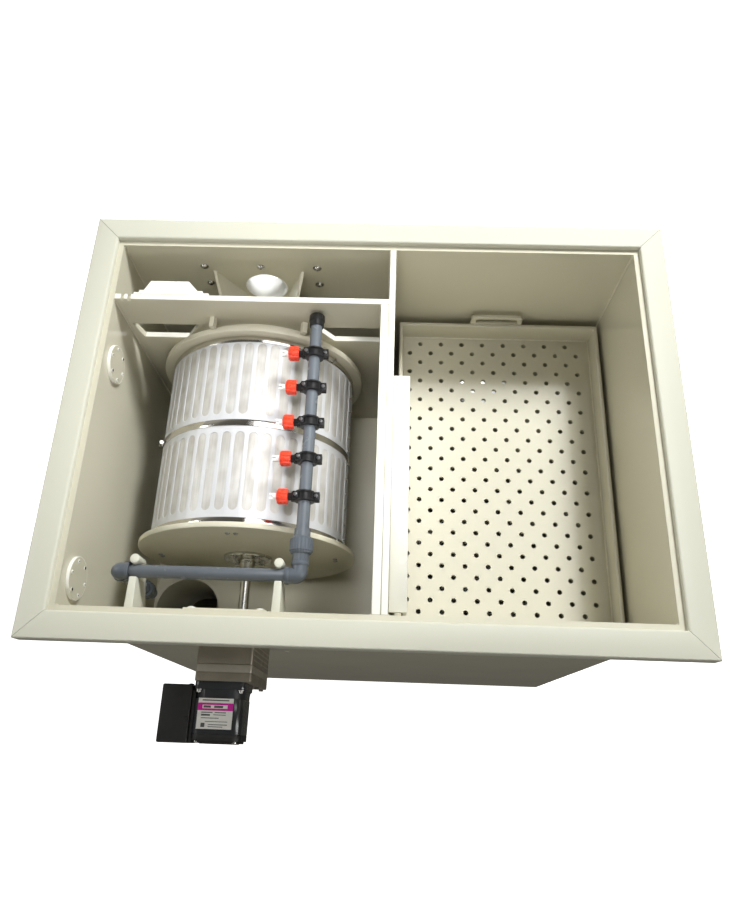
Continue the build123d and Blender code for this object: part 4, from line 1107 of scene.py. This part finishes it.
# ---- media tray
def make_tray():
    low, high = box_mm("tray_frame")
    floor_high = box_mm("tray_floor")[1]
    x0, x1 = low.x, high.x
    y1 = floor_high.y
    z0 = floor_high.z
    top = z0 + 50
    wall = 8
    piece = Piece("tray_walls")
    outline = rounded(x0, x1, -y1, y1, 2, 3)
    hole = rounded(x0 + wall, x1 - wall, -y1 + wall, y1 - wall, 1.5, 3)
    piece.plate([outline, hole], z0, top, "xy", SHEET, 1.6)
    bead_z = z0 + 0.6
    x_in, y_in = (x0 + wall, x1 - wall), y1 - wall
    inside = [(x_in[i], sign * y_in, bead_z)
              for i, sign in ((0, -1), (1, -1), (1, 1), (0, 1), (0, -1))]
    piece.tube(inside, 2.0, BEAD, ripple=0.4, step=5)
    for sign in (-1, 1):
        y0, y2 = sorted((sign * y1, sign * (y1 + 8)))
        z_low, z_high = top - 22, top + 24
        grip = rounded(208, 320, z_low, z_high, 9, 6)
        slot = rounded(219, 309, z_low + 23, z_low + 37, 6.9, 6)
        piece.plate([grip, slot], y0, y2, "xz", SHEET, 1.6)
    piece.done("tray", "tray_sheet", "tray_frame")


for make in (make_rim, make_welds, make_divider, make_cross_wall, make_blanking_discs,
             make_wall_bolts, make_switch, make_stubs, make_hood, make_discs, make_cage,
             make_cloth, make_bands, make_hub, make_supply, make_arms, make_spray_bar,
             make_nozzles, make_gearmotor, make_tray):
    make()

for node in ("tank_floor", "front_wall", "back_wall", "side_walls", "raised_floor", "drum_neck",
             "waste_trough", "drum_retainers", "bearing_plate", "tray_floor", "tray_ledges"):
    dress(node, SHEET)
for node, material in (("drum_seals", RUBBER), ("drum_shaft", STEEL),
                       ("roller_axles", STEEL), ("support_roller_left", NYLON),
                       ("support_roller_right", NYLON), ("flange_bearing", BLACK),
                       ("output_gear", GEAR), ("motor_rotor", GEAR), ("stator", WINDING)):
    dress(node, material)


# ---- stage, light, camera
def make_stage():
    mesh = bpy.data.meshes.new("stage_floor")
    mesh.from_pydata([(-9, -9, 0), (9, -9, 0), (9, 9, 0), (-9, 9, 0)], [], [(0, 1, 2, 3)])
    floor = bpy.data.objects.new("stage_floor", mesh)
    scene.collection.objects.link(floor)
    material, _, shader = new_material("studio_floor")
    shader.inputs["Base Color"].default_value = (0.93, 0.93, 0.93, 1)
    shader.inputs["Roughness"].default_value = 0.9
    shader.inputs["Emission Color"].default_value = (1, 1, 1, 1)
    shader.inputs["Emission Strength"].default_value = 1.0
    mesh.materials.append(material)
    part = bmesh.new()
    bmesh.ops.create_uvsphere(part, u_segments=48, v_segments=24, radius=8.9)
    below = [v for v in part.verts if v.co.z < -0.5]
    bmesh.ops.delete(part, geom=below, context="VERTS")
    mesh = bpy.data.meshes.new("stage_dome")
    part.to_mesh(mesh)
    part.free()
    mesh.materials.append(material)
    dome = bpy.data.objects.new("stage_dome", mesh)
    scene.collection.objects.link(dome)
    dome.visible_transmission = False
    dome.visible_shadow = False
    for item in (floor, dome):
        item.visible_diffuse = False
        item.visible_glossy = False


def hang(light, place, target):
    """Puts a lamp in place, facing its target."""
    obj = bpy.data.objects.new(light.name, light)
    obj.location = place
    direction = Vector(target) - Vector(place)
    obj.rotation_euler = direction.to_track_quat("-Z", "Y").to_euler()
    scene.collection.objects.link(obj)
    return obj


def area_light(name, place, target, size, power, colour=(1, 1, 1)):
    light = bpy.data.lights.new(name, "AREA")
    light.shape = "RECTANGLE"
    light.size, light.size_y = size
    light.energy = power
    light.color = colour
    return hang(light, place, target)


def spot_light(name, place, target, degrees, soft, power):
    light = bpy.data.lights.new(name, "SPOT")
    light.spot_size = radians(degrees)
    light.spot_blend = 1.0
    light.shadow_soft_size = soft
    light.energy = power
    hang(light, place, target).visible_glossy = False


def make_light():
    world = bpy.data.worlds.new("studio")
    world.use_nodes = True
    nodes, links = world.node_tree.nodes, world.node_tree.links
    background = nodes["Background"]
    coords = nodes.new("ShaderNodeTexCoord")
    split = nodes.new("ShaderNodeSeparateXYZ")
    links.new(coords.outputs["Generated"], split.inputs["Vector"])
    sky = nodes.new("ShaderNodeValToRGB")
    points = sky.color_ramp.elements
    points[0].position, points[0].color = 0.0, (0.10, 0.097, 0.085, 1)
    points[1].position, points[1].color = 1.0, (0.15, 0.145, 0.13, 1)
    for position, level in ((0.12, 0.14), (0.24, 0.72), (0.52, 0.72), (0.72, 0.24)):
        point = points.new(position)
        point.color = (level, level * 0.97, level * 0.87, 1)
    links.new(split.outputs["Z"], sky.inputs["Fac"])
    links.new(sky.outputs["Color"], background.inputs["Color"])
    background.inputs["Strength"].default_value = 0.62
    scene.world = world
    scene.view_settings.view_transform = "Standard"
    key = area_light("key", (1.05, 1.52, 2.95), (0.0, 0.0, 1.0), (0.6, 0.6), 88, (0.98, 1.0, 1.0))
    key.visible_glossy = False
    area_light("left_fill", (-2.6, 0.2, 2.4), (-0.2, 0.0, 1.05), (0.9, 0.9), 14, (0.98, 1.0, 1.0))
    spot_light("drum_lamp", (-0.22, -0.12, 2.9), (-0.20, 0.06, 1.0), 27, 0.35, 108)
    spot_light("drum_right_lamp", (0.55, -0.05, 2.75), (-0.09, 0.0, 0.98), 17, 0.12, 75)
    card = area_light("ceiling_card", (0.62, 0.68, 3.0), (0.62, 0.68, 1.0), (1.35, 1.5), 19)
    side_card = area_light("side_card", (1.7, -0.9, 1.9), (0.0, -0.2, 1.0), (0.5, 1.4), 14)
    card.visible_diffuse = side_card.visible_diffuse = False
    area_light("front_fill", (0.1, -2.6, 1.9), (-0.1, -0.4, 0.95), (1.2, 0.6), 10,
               (1.0, 0.99, 0.96))


def make_camera():
    camera = bpy.data.cameras.new("camera")
    # place, angles and shift fitted to the rim's corners in the photo
    camera.sensor_width = 36
    camera.lens = 27.86
    camera.shift_x = 0.0017
    camera.shift_y = 0.0071
    obj = bpy.data.objects.new("camera", camera)
    obj.location = (0.02805, -0.54527, 2.27018)
    obj.rotation_euler = (0.3732, 0.0140, 0.0344)
    scene.collection.objects.link(obj)
    scene.camera = obj


make_stage()
make_light()
make_camera()
